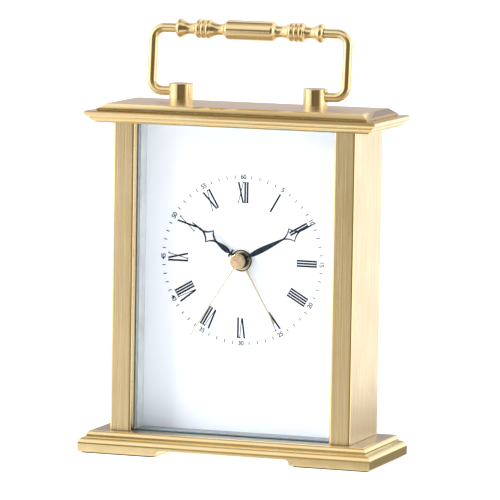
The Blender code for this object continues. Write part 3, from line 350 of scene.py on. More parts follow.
def battery_jacket():
    """A plain jacket: dark body with a copper-coloured band at the positive end."""
    made, nodes = material("battery_jacket")
    where = nodes.add("ShaderNodeSeparateXYZ", {0: nodes.place()}).outputs["X"]
    low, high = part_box("battery")
    band = low.x + BAND_START * (high.x - low.x)
    copper = nodes.spread(where, 0.0, 1.0, band - BAND_BLUR, band + BAND_BLUR)
    scuffs = nodes.noise(700, 4, 0.6)
    dark = nodes.blend(scuffs, (0.014, 0.015, 0.018), (0.030, 0.032, 0.036))
    shade = nodes.blend(copper, dark, (0.58, 0.30, 0.13))
    rough = nodes.spread(scuffs, 0.18, 0.34)
    nodes.finish(surface(nodes, shade, rough, copper, nodes.bump(scuffs, 0.004 * MM), coat_weight=0.5))
    return made


ACROSS_UPRIGHT = (1, 1, 0.012)  # grain runs along Z
ACROSS_SIDEWAYS = (0.02, 1, 1)  # grain runs along X
ACROSS_SIDE = (1.7, 1.7, 0.045)  # a finer, shorter grain along Z

POLISHED = brass("polished_brass", (0.10, 0.17), depth=0.02 * MM)
HANDLE_BRASS = brass("handle_brass", (0.12, 0.20), None, 0.015 * MM, HANDLE_TONES)
BRUSHED_UPRIGHT = brass("brushed_brass", (0.24, 0.38), ACROSS_UPRIGHT, 0.12 * MM, BRUSHED_TONES)
# The outer sides' lighter tones are painted light; their finer, shorter grain is real.
LIT_BRUSHED_SIDE = brass("lit_brushed_side", (0.30, 0.46), ACROSS_SIDE, 0.16 * MM, LIT_SIDE_TONES, 0.95)
# Darker brass on the base's top is painted shade; its sideways brushing is real.
SHADED_BASE_TOP = brass("shaded_base_top", (0.30, 0.44), ACROSS_SIDEWAYS, 0.10 * MM, SHADED_BASE_TOP_TONES)
BRUSHED_TOP = brass("brushed_top", (0.30, 0.44), ACROSS_SIDEWAYS, 0.12 * MM, TOP_TONES)
GROOVE = brass("shaded_groove", (0.30, 0.40), None, 0.01 * MM, GROOVE_TONES)
SATIN = brass("satin_brass", (0.30, 0.42), ACROSS_UPRIGHT, 0.03 * MM)
TURNED = turned_brass("turned_brass")
GOLD_HAND = brass("gold_hand", (0.24, 0.36), None, 0.004 * MM, GOLD_TONES)
BLACK_HAND = lacquer("blue_black_lacquer", (0.005, 0.012, 0.020), (0.008, 0.017, 0.027))
PRINT = lacquer("dial_print", (0.006, 0.010, 0.018), (0.010, 0.014, 0.025), 0.5, 0.1)
DIAL = dial_paint()
GLASS = window_glass("window_glass")
# Opaque grey on the pane's side faces and the spacer's front face: painted reflection standing in for the
# light look of a polished glass edge, over the glass's own green-grey tint.
EDGE_REFLECTION_GREY = lacquer("edge_reflection_grey", (0.42, 0.46, 0.46), (0.50, 0.54, 0.54), 0.3)
# Dark teal on the pane's top and bottom bevels: painted dark reflection for the glass edge's line, over the
# glass's real green tint.
RIM_DARK_REFLECTION = lacquer("rim_dark_reflection", (0.13, 0.19, 0.22), (0.17, 0.25, 0.28), 0.3)
SPACER = plastic("spacer_white", (0.60, 0.62, 0.62), 0.4, 0.004)
# A darker grey for the spacer's bottom wall: painted shade.
SHADED_SPACER_SILL = plastic("shaded_spacer_sill", (0.26, 0.27, 0.28), 0.5, 0.004)
BLACK_PLASTIC = plastic("black_plastic", (0.022, 0.022, 0.023))
MARK_PLASTIC = plastic("mark_white", (0.70, 0.70, 0.68), 0.4, 0.005)
WHITE_PLASTIC = plastic("white_plastic", (0.78, 0.77, 0.72), 0.35, 0.01)
STEEL = plated_steel("plated_steel")
SPRING = plated_steel("spring_strip", (0.70, 0.69, 0.66), (0.18, 0.34), ACROSS_UPRIGHT)
FELT = felt()
COPPER = copper_winding()
BOARD = circuit_board()
MAGNET = plated_steel("magnet", (0.16, 0.16, 0.17), (0.4, 0.6))
JACKET = battery_jacket()


# Shapes


def arc(centre, radius, start, end, steps):
    """Points round part of a circle, with angles in degrees."""
    angles = [radians(start + (end - start) * i / steps) for i in range(steps + 1)]
    return [(centre[0] + radius * cos(a), centre[1] + radius * sin(a)) for a in angles]


def circle(radius, steps=48, centre=(0, 0)):
    return arc(centre, radius, 0, 360, steps)[:-1]


def rectangle(low, high):
    return [low, (high[0], low[1]), high, (low[0], high[1])]


def quadratic(start, pull, end, steps):
    """Points of a quadratic curve, without its start."""
    points = []
    for i in range(1, steps + 1):
        t = i / steps
        weights = ((1 - t) ** 2, 2 * t * (1 - t), t * t)
        points.append(tuple(sum(w * p[k] for w, p in zip(weights, (start, pull, end))) for k in (0, 1)))
    return points


def rounded(points, radius, steps=4, closed=True):
    """The outline with each corner rounded, by less where its sides are short."""
    count = len(points)
    made = []
    for i, corner in enumerate(points):
        if not closed and i in (0, count - 1):
            made.append(corner)
            continue
        here = Vector(corner)
        before, after = Vector(points[i - 1]) - here, Vector(points[(i + 1) % count]) - here
        turn = before.angle(-after)
        if turn < LEAST_TURN:
            made.append(corner)
            continue
        reach = min(radius * tan(turn / 2), 0.45 * before.length, 0.45 * after.length)
        start, end = here + before.normalized() * reach, here + after.normalized() * reach
        made.append(tuple(start))
        made += quadratic(tuple(start), corner, tuple(end), steps)
    return made


def smooth(mesh):
    mesh.shade_smooth()
    mesh.set_sharp_from_angle(angle=SMOOTH_ANGLE)
    return mesh


def finish_mesh(name, bm):
    bmesh.ops.remove_doubles(bm, verts=bm.verts, dist=MERGE)
    bmesh.ops.recalc_face_normals(bm, faces=bm.faces)
    mesh = bpy.data.meshes.new(name)
    bm.to_mesh(mesh)
    bm.free()
    return smooth(mesh)


def turned(name, profile, steps=96, closed=False):
    """A shape turned about local Z, from (radius, height) points."""
    bm = bmesh.new()
    verts = [bm.verts.new((r, 0, h)) for r, h in profile]
    pairs = list(zip(verts, verts[1:])) + ([(verts[-1], verts[0])] if closed else [])
    edges = [bm.edges.new(pair) for pair in pairs]
    bmesh.ops.spin(
        bm,
        geom=verts + edges,
        cent=(0, 0, 0),
        axis=(0, 0, 1),
        angle=2 * pi,
        steps=steps,
        use_merge=True,
    )
    return finish_mesh(name, bm)


def loft(name, rings):
    """A solid through rings of points that match one to one, with flat ends."""
    bm = bmesh.new()
    rows = [[bm.verts.new(point) for point in ring] for ring in rings]
    count = len(rows[0])
    for row, other in zip(rows, rows[1:]):
        for i in range(count):
            j = (i + 1) % count
            bm.faces.new((row[i], row[j], other[j], other[i]))
    bm.faces.new(rows[0])
    bm.faces.new(rows[-1])
    return finish_mesh(name, bm)


def moulding(name, width, depth, centre_y, profile):
    """A mitred rectangular moulding from (inset along X, inset along Y, height) points, from the bottom."""
    rings = []
    for inset_x, inset_y, height in profile:
        x, y = width / 2 - inset_x, depth / 2 - inset_y
        rings.append([(u * x, centre_y + v * y, height) for u, v in ((-1, -1), (1, -1), (1, 1), (-1, 1))])
    return loft(name, rings)


def plate(name, loops, thickness, bevel=0.0, bevel_steps=2):
    """A flat outline with holes, about local XY, with its edges bevelled."""
    curve = bpy.data.curves.new(name, "CURVE")
    curve.dimensions = "2D"
    curve.fill_mode = "BOTH"
    curve.extrude = thickness / 2
    for points in loops:
        spline = curve.splines.new("POLY")
        spline.points.add(len(points) - 1)
        for point, (u, v) in zip(spline.points, points):
            point.co = (u, v, 0, 1)
        spline.use_cyclic_u = True
    source = bpy.data.objects.new(name, curve)
    mesh = bpy.data.meshes.new_from_object(source)
    bpy.data.objects.remove(source)
    bm = bmesh.new()
    bm.from_mesh(mesh)
    bmesh.ops.remove_doubles(bm, verts=bm.verts, dist=MERGE)
    if bevel:
        rims = [e for e in bm.edges if len(e.link_faces) == 2 and e.calc_face_angle() > RIM_ANGLE]
        flat_rims = [e for e in rims if abs(e.verts[0].co.z - e.verts[1].co.z) < 2 * MERGE]
        bmesh.ops.bevel(
            bm,
            geom=flat_rims,
            offset=bevel,
            segments=bevel_steps,
            affect="EDGES",
            profile=0.5,
            clamp_overlap=True,
        )
    return finish_mesh(name, bm)


def block(name, low, high, radius, steps=3):
    """A block between two corners with all its edges rounded."""
    bm = bmesh.new()
    bmesh.ops.create_cube(bm, size=1)
    size = Vector(high) - Vector(low)
    bmesh.ops.scale(bm, vec=size, verts=bm.verts)
    bmesh.ops.translate(bm, vec=(Vector(high) + Vector(low)) / 2, verts=bm.verts)
    bmesh.ops.bevel(bm, geom=bm.edges[:], offset=radius, segments=steps, affect="EDGES", profile=0.5)
    return finish_mesh(name, bm)


def rod(name, radius, low, high, steps):
    """A cylinder about local Z."""
    return turned(name, [(0, high), (radius, high), (radius, low), (0, low)], steps)


def tube(name, route, radius, sides=40):
    """A round wire along points, with flat ends."""
    rings = []
    count = len(route)
    for i, point in enumerate(route):
        ahead = (Vector(route[min(i + 1, count - 1)]) - Vector(route[max(i - 1, 0)])).normalized()
        side = ahead.cross(Vector((0, 1, 0))).normalized()
        depth = side.cross(ahead)
        turns = [2 * pi * k / sides for k in range(sides)]
        rings.append([Vector(point) + radius * (cos(a) * side + sin(a) * depth) for a in turns])
    return loft(name, rings)


def joined(name, *meshes):
    bm = bmesh.new()
    for mesh in meshes:
        bm.from_mesh(mesh)
    made = bpy.data.meshes.new(name)
    bm.to_mesh(made)
    bm.free()
    return smooth(made)


def front_outline(node, grow=0.0):
    """A node's rectangle as seen from the front, about the dial's centre."""
    low, high = (corner - DIAL_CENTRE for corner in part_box(node))
    return rectangle((low.x - grow, low.z - grow), (high.x + grow, high.z + grow))


def moved(mesh, turn=None, at=(0, 0, 0)):
    """The mesh itself, turned and then shifted."""
    mesh.transform(Matrix.Translation(Vector(at)) @ (turn or Matrix()))
    return mesh


def carved(name, base, *tools, operation="DIFFERENCE"):
    """The base mesh with the tools' solids cut away or joined on."""
    target = linked(name, base)
    helpers = []
    for tool in tools:
        helper = linked(f"{name}_tool", tool)
        step = target.modifiers.new("step", "BOOLEAN")
        step.operation = operation
        step.solver = "EXACT"
        step.object = helper
        helpers.append(helper)
    bpy.context.view_layer.update()
    graph = bpy.context.evaluated_depsgraph_get()
    made = bpy.data.meshes.new_from_object(target.evaluated_get(graph))
    for helper in helpers + [target]:
        bpy.data.objects.remove(helper)
    made.name = name
    return smooth(made)


def piece(name, mesh, looks, body, slot, *nodes):
    """A finished piece that rides on a body and stands for the CAD nodes it is given."""
    made = linked(name, mesh)
    for look in looks if isinstance(looks, (list, tuple)) else [looks]:
        mesh.materials.append(look)
    level = made.modifiers.new("even_normals", "WEIGHTED_NORMAL")
    level.keep_sharp = True
    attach(made, body)
    if nodes:
        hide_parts(*nodes)
    return made


def paint_faces(mesh, index, chosen):
    """Gives a material index to each face that the test chooses by its normal and centre."""
    for face in mesh.polygons:
        if chosen(face.normal, face.center):
            face.material_index = index


# Case


BASE_FACE_TOP = 3.4 * MM
BASE_STEP = (2.55 * MM, 6.2 * MM)
BASE_TOP_INSET = 4.05 * MM
ARCH_HALF_WIDTH = 26.0 * MM
ARCH_TOP = 2.7 * MM
ARCH_CORNER = 1.6 * MM
BASE_EDGE = 0.35 * MM
BASE_FILLET = (0.30 * MM, 0.25 * MM)
FELT_CORNER = 1.5 * MM
FELT_EDGE = 0.12 * MM


def quarter(start, end, bulge, steps=10):
    """A quarter ellipse of (inset, height) points, without its start. A bulge swells outwards first."""
    points = []
    for i in range(1, steps + 1):
        angle = pi / 2 * i / steps
        across, along = 1 - cos(angle), sin(angle)
        if not bulge:
            across, along = along, across
        points.append((start[0] + (end[0] - start[0]) * across, start[1] + (end[1] - start[1]) * along))
    return points


def both_ways(profile):
    return [(inset, inset, height) for inset, height in profile]


def make_base():
    low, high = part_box("base_plate")
    floor, top = low.z, high.z
    profile = [(BASE_EDGE, floor)] + quadratic((BASE_EDGE, floor), (0, floor), (0, floor + BASE_EDGE), 3)
    profile += [(0, BASE_FACE_TOP)]
    fillet = (BASE_STEP[0] - BASE_FILLET[0], BASE_STEP[1] - BASE_FILLET[1])
    profile += quarter(profile[-1], fillet, True)
    profile += quadratic(profile[-1], (BASE_STEP[0], fillet[1]), BASE_STEP, 3)
    profile += quarter(BASE_STEP, (BASE_TOP_INSET, top), True)
    body = moulding("base", high.x - low.x, high.y - low.y, 0, both_ways(profile))
    side = [(ARCH_HALF_WIDTH, -2 * MM)]
    side += arc((ARCH_HALF_WIDTH - ARCH_CORNER, ARCH_TOP - ARCH_CORNER), ARCH_CORNER, 0, 90, 12)
    arch = side + [(-u, v) for u, v in reversed(side)]
    made = carved("base", body, moved(plate("arch", [arch], 3 * (high.y - low.y)), FRONT))
    # The base's upward faces take the darker brass, which is painted shade.
    paint_faces(made, 1, lambda normal, centre: normal.z > FLAT_UP)
    piece("base_moulding", made, [POLISHED, SHADED_BASE_TOP], "case", "polished_brass", "base_plate")


def make_felt():
    for name in ("foot_pad_left", "foot_pad_right"):
        low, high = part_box(name)
        outline = rounded(rectangle(tuple(low.xy), tuple(high.xy)), FELT_CORNER, 6)
        mesh = moved(plate(name, [outline], high.z - low.z, FELT_EDGE), at=(0, 0, middle(name).z))
        piece(f"felt_{name[9:]}", mesh, FELT, "case", "felt", name)


PILLAR_WIDTH = 8.3 * MM
PILLAR_WALL = 3.0 * MM
OUTER_EDGE = 0.9 * MM
INNER_ROUND = 1.0 * MM
REBATE = 2.3 * MM
RIB_FRONT = 9.0 * MM
DIAL_CLEARANCE = 0.4 * MM
BACK_CLEARANCE = 0.1 * MM


def pillar_plan(side, outer, front, back):
    """The plan of a side section: soft outer edge, rounded reveal, hollow, rib and rebate for the back."""
    inner = outer - PILLAR_WIDTH
    wall = outer - PILLAR_WALL
    rebate = outer - REBATE
    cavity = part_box("dial_plate")[1].y + DIAL_CLEARANCE
    rib_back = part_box("back_panel")[0].y - BACK_CLEARANCE
    points = [(outer, back)]
    points += quadratic((outer, front + OUTER_EDGE), (outer, front), (outer - OUTER_EDGE, front), 6)
    points += [(inner + INNER_ROUND, front)]
    points += quadratic(points[-1], (inner, front), (inner, front + INNER_ROUND), 8)
    points += [(inner, cavity), (wall, cavity), (wall, RIB_FRONT), (inner, RIB_FRONT)]
    points += [(inner, rib_back), (rebate, rib_back), (rebate, back)]
    return [(side * x, y) for x, y in points]


def make_pillars():
    for side, name in ((-1, "side_pillar_left"), (1, "side_pillar_right")):
        low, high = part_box(name)
        outer = max(abs(low.x), abs(high.x))
        plan = pillar_plan(side, outer, low.y, high.y)
        mesh = plate(name, [plan], high.z - low.z)
        moved(mesh, at=(0, 0, middle(name).z))
        paint_faces(mesh, 1, lambda normal, centre: normal.y < -SQUARE_ON)
        # Outer side faces take the lighter brushed brass, which is painted light.
        paint_faces(mesh, 2, lambda normal, centre: abs(normal.x) > SQUARE_ON and abs(centre.x) > outer - MM)
        looks = [POLISHED, BRUSHED_UPRIGHT, LIT_BRUSHED_SIDE]
        piece(f"pillar_{name[12:]}", mesh, looks, "case", "polished_brass", name)


TOP_TIP = (127.1 * MM, 127.7 * MM)
TOP_STEP_INSET = (3.7 * MM, 2.5 * MM)
TOP_STEP = 128.5 * MM
TOP_BEVEL = 3.2 * MM
TOP_FOOT = 3.3 * MM
TOP_FOOT_RISE = 0.4 * MM
TOP_COVE = (1.5 * MM, 125.6 * MM)
TOP_TIP_EDGE = 0.15 * MM
TOP_LEDGE_RISE = 0.2 * MM
TOP_LEDGE_START = (0.5 * MM, 0.4 * MM)
TOP_UNDERCUT = 0.45 * MM


def make_top():
    low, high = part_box("top_plate")
    under = low.z
    profile = [(TOP_FOOT, under), (TOP_FOOT, under + TOP_FOOT_RISE)]
    profile += quarter(profile[-1], TOP_COVE, False, 8)
    profile += quarter(profile[-1], (0, TOP_TIP[0]), False, 8)[1:]
    rings = both_ways(profile)
    ledge = TOP_TIP[1] + TOP_LEDGE_RISE
    rings += [(0, 0, TOP_TIP[1] - TOP_TIP_EDGE), (TOP_TIP_EDGE, TOP_TIP_EDGE, TOP_TIP[1])]
    rings += [(*TOP_LEDGE_START, ledge)]
    inset_x, inset_y = TOP_STEP_INSET
    rings += [(inset_x + TOP_UNDERCUT, inset_y + TOP_UNDERCUT, ledge)]
    rings += [(inset_x + 0.02 * MM, inset_y + 0.02 * MM, TOP_STEP - 0.10 * MM)]
    rings += [(inset_x + 0.10 * MM, inset_y + 0.10 * MM, TOP_STEP)]
    rings += [(inset_x + TOP_BEVEL - 0.2 * MM, inset_y + TOP_BEVEL - 0.2 * MM, high.z - 0.09 * MM)]
    rings += [(inset_x + TOP_BEVEL + 0.1 * MM, inset_y + TOP_BEVEL + 0.1 * MM, high.z)]
    centre_y = (low.y + high.y) / 2
    made = moulding("top", high.x - low.x, high.y - low.y, centre_y, rings)
    riser = (ledge, TOP_STEP - 0.12 * MM)
    paint_faces(made, 1, lambda normal, centre: normal.z > FLAT_UP and centre.z > ledge + 0.5 * MM)
    paint_faces(made, 2, lambda normal, centre: riser[0] < centre.z < riser[1] and abs(normal.z) < 0.9)
    piece("top_moulding", made, [POLISHED, BRUSHED_TOP, GROOVE], "case", "polished_brass", "top_plate")


SPACER_WALL = 0.5 * MM
GLASS_BEVEL = 0.25 * MM
DIAL_HOLE = 3.4 * MM


def make_glass_and_dial():
    low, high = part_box("front_glass")
    mesh = block("glass", low, high, GLASS_BEVEL, 2)
    # The pane's side faces are painted grey: painted reflection of the glass edge.
    paint_faces(mesh, 1, lambda normal, centre: abs(normal.y) < SQUARE_ON)
    # Top and bottom bevels are painted dark teal: painted dark reflection.
    paint_faces(mesh, 2, lambda normal, centre: 0.1 < abs(normal.y) < SQUARE_ON and abs(normal.z) > 0.1)
    piece("glass_pane", mesh, [GLASS, EDGE_REFLECTION_GREY, RIM_DARK_REFLECTION], "case", "glass", "front_glass")
    sheet = front_outline("dial_plate")
    mesh = plate("dial", [sheet, circle(DIAL_HOLE, 64)], extent("dial_plate").y, 0.06 * MM)
    on_dial(mesh, middle("dial_plate").y)
    piece("dial_sheet", mesh, DIAL, "case", "dial_white", "dial_plate")
    inner = front_outline("dial_spacer", -SPACER_WALL)
    mesh = plate("spacer", [sheet, inner], extent("dial_spacer").y)
    on_dial(mesh, middle("dial_spacer").y)
    # The spacer's front face takes the same grey, continuing the painted reflection of the glass edge.
    paint_faces(mesh, 1, lambda normal, centre: normal.y < -0.9)
    # The spacer's upward-facing bottom wall is darker: painted shade.
    paint_faces(mesh, 2, lambda normal, centre: normal.z > 0.9 and centre.z < DIAL_CENTRE.z)
    piece("spacer_frame", mesh, [SPACER, EDGE_REFLECTION_GREY, SHADED_SPACER_SILL], "case", "dial_white", "dial_spacer")


# Dial print: feet of the numerals point to the centre

INK = 0.03 * MM
NUMERAL_FOOT = 21.4 * MM
NUMERAL_HEAD = 29.2 * MM
STROKE = 0.70 * MM
HAIR = 0.30 * MM
PITCH = 0.97 * MM
SERIF = 0.26 * MM
SERIF_REACH = 0.34 * MM
MINUTE_RADIUS = 31.05 * MM
MINUTE_TEXT = 2.45 * MM
TICK = (0.35 * MM, 1.3 * MM)
DIAGONAL_LEAN = 1.85 * MM
NUMERALS = ("XII", "I", "II", "III", "IIII", "V", "VI", "VII", "VIII", "IX", "X", "XI")


def bar(foot_x, head_x, width, foot=0.0, head=None):
    """A straight stroke from a foot to a head of the numeral."""
    head = NUMERAL_HEAD - NUMERAL_FOOT if head is None else head
    half = width / 2
    return [(foot_x - half, foot), (foot_x + half, foot), (head_x + half, head), (head_x - half, head)]


def serif(x, at_head, reach):
    """A thin bar with hollow shoulders across the end of a stroke."""
    height = NUMERAL_HEAD - NUMERAL_FOOT
    half, inner = reach, STROKE / 2
    shape = [(x - half, 0), (x + half, 0), (x + half, 0.5 * SERIF)]
    shape += quadratic(shape[-1], (x + inner, 0.6 * SERIF), (x + inner * 0.7, 1.9 * SERIF), 4)
    shape += [(2 * x - u, v) for u, v in reversed(shape[2:])]
    return [(u, height - v) for u, v in shape] if at_head else shape


def letter_strokes(letter, x):
    """The strokes of a letter whose left side is at x, and the letter's advance."""
    height = NUMERAL_HEAD - NUMERAL_FOOT
    if letter == "I":
        at = x + PITCH / 2
        reach = PITCH / 2 + 0.02 * MM
        return [bar(at, at, STROKE), serif(at, False, reach), serif(at, True, reach)], PITCH
    left, right = x + 0.35 * MM, x + 0.35 * MM + DIAGONAL_LEAN
    if letter == "X":
        shapes = [bar(right, left, STROKE), bar(left, right, HAIR)]
        ends = [(left, False), (right, False), (left, True), (right, True)]
        shapes += [serif(at, head, SERIF_REACH) for at, head in ends]
        return shapes, DIAGONAL_LEAN + 0.62 * MM
    foot = (left + right) / 2
    shapes = [bar(foot + 0.1 * MM, left, STROKE, 0.25 * MM), bar(foot + 0.3 * MM, right, HAIR, 0.25 * MM)]
    shapes.append([(foot + 0.2 * MM, -0.15 * MM), (foot + 0.42 * MM, 0.5 * MM), (foot - 0.2 * MM, 0.5 * MM)])
    shapes += [serif(left, True, SERIF_REACH), serif(right, True, SERIF_REACH)]
    return [[(u, min(v, height)) for u, v in shape] for shape in shapes], DIAGONAL_LEAN + 0.62 * MM


def numeral_shapes(text):
    shapes, x = [], 0.0
    for letter in text:
        made, advance = letter_strokes(letter, x)
        shapes += made
        x += advance
    return [[(u - x / 2, v + NUMERAL_FOOT) for u, v in shape] for shape in shapes]


def turned_clockwise(points, angle):
    """The points of a shape at twelve, turned clockwise round the dial."""
    c, s = cos(angle), sin(angle)
    return [(u * c + v * s, v * c - u * s) for u, v in points]


def ink_sheet(name, shapes):
    """Raised print, each shape extruded by itself and laid on the dial."""
    bm = bmesh.new()
    for shape in shapes:
        face = bm.faces.new([bm.verts.new((u, v, 0)) for u, v in shape])
        grown = bmesh.ops.extrude_face_region(bm, geom=[face])["geom"]
        verts = [item for item in grown if isinstance(item, bmesh.types.BMVert)]
        bmesh.ops.translate(bm, vec=(0, 0, INK), verts=verts)
    bmesh.ops.recalc_face_normals(bm, faces=bm.faces)
    mesh = bpy.data.meshes.new(name)
    bm.to_mesh(mesh)
    bm.free()
    return mesh


def minute_number(minute):
    """The mesh of a number on the minute ring, upright where it stands above the dial's middle."""
    text = bpy.data.curves.new(f"minute_{minute}", "FONT")
    text.body = str(minute)
    text.size = MINUTE_TEXT
    text.align_x = "CENTER"
    text.align_y = "CENTER"
    text.extrude = INK / 2
    text.resolution_u = 6
    text.space_character = 0.92
    text.offset = 0.05 * MM
    source = bpy.data.objects.new(text.name, text)
    mesh = bpy.data.meshes.new_from_object(source)
    bpy.data.objects.remove(source)
    outwards = not 15 < minute < 45
    angle = -2 * pi * minute / 60
    upright = Matrix() if outwards else Matrix.Rotation(pi, 4, "Z")
    lift = Matrix.Translation((0, MINUTE_RADIUS, INK / 2))
    mesh.transform(Matrix.Rotation(angle, 4, "Z") @ lift @ upright)
    return mesh


def make_print():
    shapes = []
    for hour, text in enumerate(NUMERALS):
        shapes += [turned_clockwise(shape, 2 * pi * hour / 12) for shape in numeral_shapes(text)]
    half, length = TICK[0] / 2, TICK[1] / 2
    tick = rectangle((-half, MINUTE_RADIUS - length), (half, MINUTE_RADIUS + length))
    shapes += [turned_clockwise(tick, 2 * pi * minute / 60) for minute in range(60) if minute % 5]
    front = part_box("dial_plate")[0].y
    at = (DIAL_CENTRE.x, front, DIAL_CENTRE.z)
    numbers = [minute_number(minute) for minute in range(5, 65, 5)]
    piece("hour_numerals", moved(ink_sheet("hour_numerals", shapes), FRONT, at), PRINT, "case", "hand_black")
    piece("minute_numbers", moved(joined("minute_numbers", *numbers), FRONT, at), PRINT, "case", "hand_black")


# Hands


def on_dial(mesh, y, angle=0.0):
    """A flat mesh stood up to face the front at depth y, turned clockwise about the dial's centre."""
    return moved(mesh, Matrix.Rotation(angle, 4, "Y") @ FRONT, (DIAL_CENTRE.x, y, DIAL_CENTRE.z))


def mirrored(side):
    return side + [(-u, v) for u, v in reversed(side) if u > 0]


def leaf(start, end, widest, neck, steps=18):
    points = []
    for i in range(steps + 1):
        t = i / steps
        points.append((neck + (widest - neck) * sin(pi * t**0.65), start + (end - start) * t))
    return points


def diamond(low, side, high, neck, steps=12):
    """The right outer edge of an open diamond with hollow sides, without its start."""
    centre, reach = (low + high) / 2, side[0]
    lower = quadratic((neck, low), (0.34 * reach, 0.62 * centre + 0.38 * low), side, steps)
    return lower + quadratic(side, (0.34 * reach, 0.62 * centre + 0.38 * high), (neck, high), steps)


def hand_outline(hub, stem, crossing, blade, open_diamond, tip):
    side = arc((0, 0), hub, -90, 78, 28) + [(0.45 * MM, stem)]
    if crossing:
        radius, reach, half = crossing
        side += [(0.45 * MM, radius - half), (reach, radius - 0.8 * half)]
        side += arc((reach, radius), 0.8 * half, -60, 60, 4)
        side += [(reach, radius + 0.8 * half), (0.5 * MM, radius + half)]
    side += leaf(*blade)
    low, reach, high, neck, stroke = open_diamond
    centre = (low + high) / 2
    side += diamond(low, (reach, centre), high, neck)
    side += [(0.42 * MM, high + 0.22 * (tip - high)), (0.14 * MM, tip - 0.2 * MM), (0, tip)]
    inner_low, inner_high = low + 1.6 * stroke, high - 1.6 * stroke
    hole = [(0, inner_low)] + diamond(inner_low, (reach - 1.25 * stroke, centre), inner_high, 0.02 * MM)
    return mirrored(side), mirrored(hole)


HANDS = {
    "hour_hand": dict(
        hub=2.85 * MM,
        stem=3.6 * MM,
        crossing=(4.65 * MM, 1.35 * MM, 0.38 * MM),
        blade=(5.2 * MM, 11.3 * MM, 1.02 * MM, 0.36 * MM),
        open_diamond=(11.7 * MM, 2.95 * MM, 18.2 * MM, 0.36 * MM, 0.58 * MM),
        tip=23.5 * MM,
    ),
    "minute_hand": dict(
        hub=2.7 * MM,
        stem=3.5 * MM,
        crossing=None,
        blade=(4.2 * MM, 19.2 * MM, 1.08 * MM, 0.34 * MM),
        open_diamond=(19.6 * MM, 2.85 * MM, 26.6 * MM, 0.36 * MM, 0.44 * MM),
        tip=33.6 * MM,
    ),
}
HAND_THICKNESS = 0.4 * MM
BLADE_DEPTH = {"hour_hand": 0.45 * MM, "minute_hand": 0.4 * MM}
HOUR_ANGLE = radians(305.0)
MINUTE_ANGLE = radians(62.2)
SECOND_ANGLE = radians(213.0)
ALARM_ANGLE = radians(150.0)
PIPE_RADIUS = {"hour_hand": 1.76 * MM, "minute_hand": 1.16 * MM}
COLLET_RADIUS = {"hour_hand": 2.8 * MM, "minute_hand": 2.65 * MM}


def sleeve(name, inner, outer, half, radius, corner_steps, steps):
    """A short tube about local Z with rounded rims."""
    profile = [(outer, half), (outer, -half), (inner, -half), (inner, half)]
    return turned(name, rounded(profile, radius, corner_steps), steps, closed=True)


def make_pierced_hand(name, body, angle):
    outline, hole = hand_outline(**HANDS[name])
    bore = PIPE_RADIUS[name]
    blade = plate(name, [outline, hole, circle(bore)], HAND_THICKNESS, 0.07 * MM)
    half = extent(name).y / 2
    collet = sleeve(f"{name}_collet", bore + 0.2 * MM, COLLET_RADIUS[name], half, 0.15 * MM, 4, 64)
    on_dial(blade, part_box(name)[0].y + BLADE_DEPTH[name], angle)
    on_dial(collet, middle(name).y)
    piece(f"{name}_blade", joined(name, blade, collet), BLACK_HAND, body, "hand_black", name)


NEEDLES = {
    # hub radius, half widths at root and tip, length, bore
    "second_hand": (1.6 * MM, 0.20 * MM, 0.14 * MM, 34.4 * MM, 0.56 * MM),
    "alarm_hand": (4.0 * MM, 0.28 * MM, 0.18 * MM, 26.7 * MM, 2.36 * MM),
}


def make_needle(name, body, angle):
    hub, half_root, half_tip, tip, bore = NEEDLES[name]
    side = arc((0, 0), hub, -90, 80, 40)
    side += [(half_root, hub + 0.2 * MM), (half_tip, tip - 0.1 * MM), (0, tip)]
    mesh = plate(name, [mirrored(side), circle(bore)], extent(name).y, 0.05 * MM)
    on_dial(mesh, middle(name).y, angle)
    piece(f"{name}_needle", mesh, GOLD_HAND, body, "hand_gold", name)


# The black ring on the alarm disc's rim is painted shade and dark reflection.
ALARM_SHADE_RING = (3.62 * MM, 4.04 * MM)
RIM_PROUD = 1.06  # how much thicker than the disc its rim is


def make_alarm_rim():
    """A black ring on the rim of the alarm hand's disc: painted shade and dark reflection."""
    half = RIM_PROUD * extent("alarm_hand").y / 2
    mesh = sleeve("alarm_shade_ring", *ALARM_SHADE_RING, half, 0.06 * MM, 3, 96)
    on_dial(mesh, middle("alarm_hand").y)
    piece("alarm_disc_shade_ring", mesh, BLACK_HAND, "alarm", "hand_black")


CAP_EDGE = 0.35 * MM
CAP_SOCKET = (0.56 * MM, 0.35 * MM)  # radius and depth


def make_cap():
    low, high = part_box("second_hand_cap")
    radius = (high.x - low.x) / 2
    front, back = -low.y, -high.y
    profile = [(0, front), (0.1 * MM, front)]
    profile += [(radius - CAP_EDGE, front - 0.06 * MM)]
    profile += quadratic(profile[-1], (radius, front - 0.08 * MM), (radius, front - CAP_EDGE), 5)
    bore, depth = CAP_SOCKET
    profile += [(radius, back + 0.1 * MM), (radius - 0.1 * MM, back), (bore, back)]
    profile += [(bore, back + depth), (0, back + depth)]
    mesh = turned("cap", profile, 96)
    on_dial(mesh, 0)
    piece("centre_cap", mesh, TURNED, "second", "hand_gold", "second_hand_cap")


# Handle


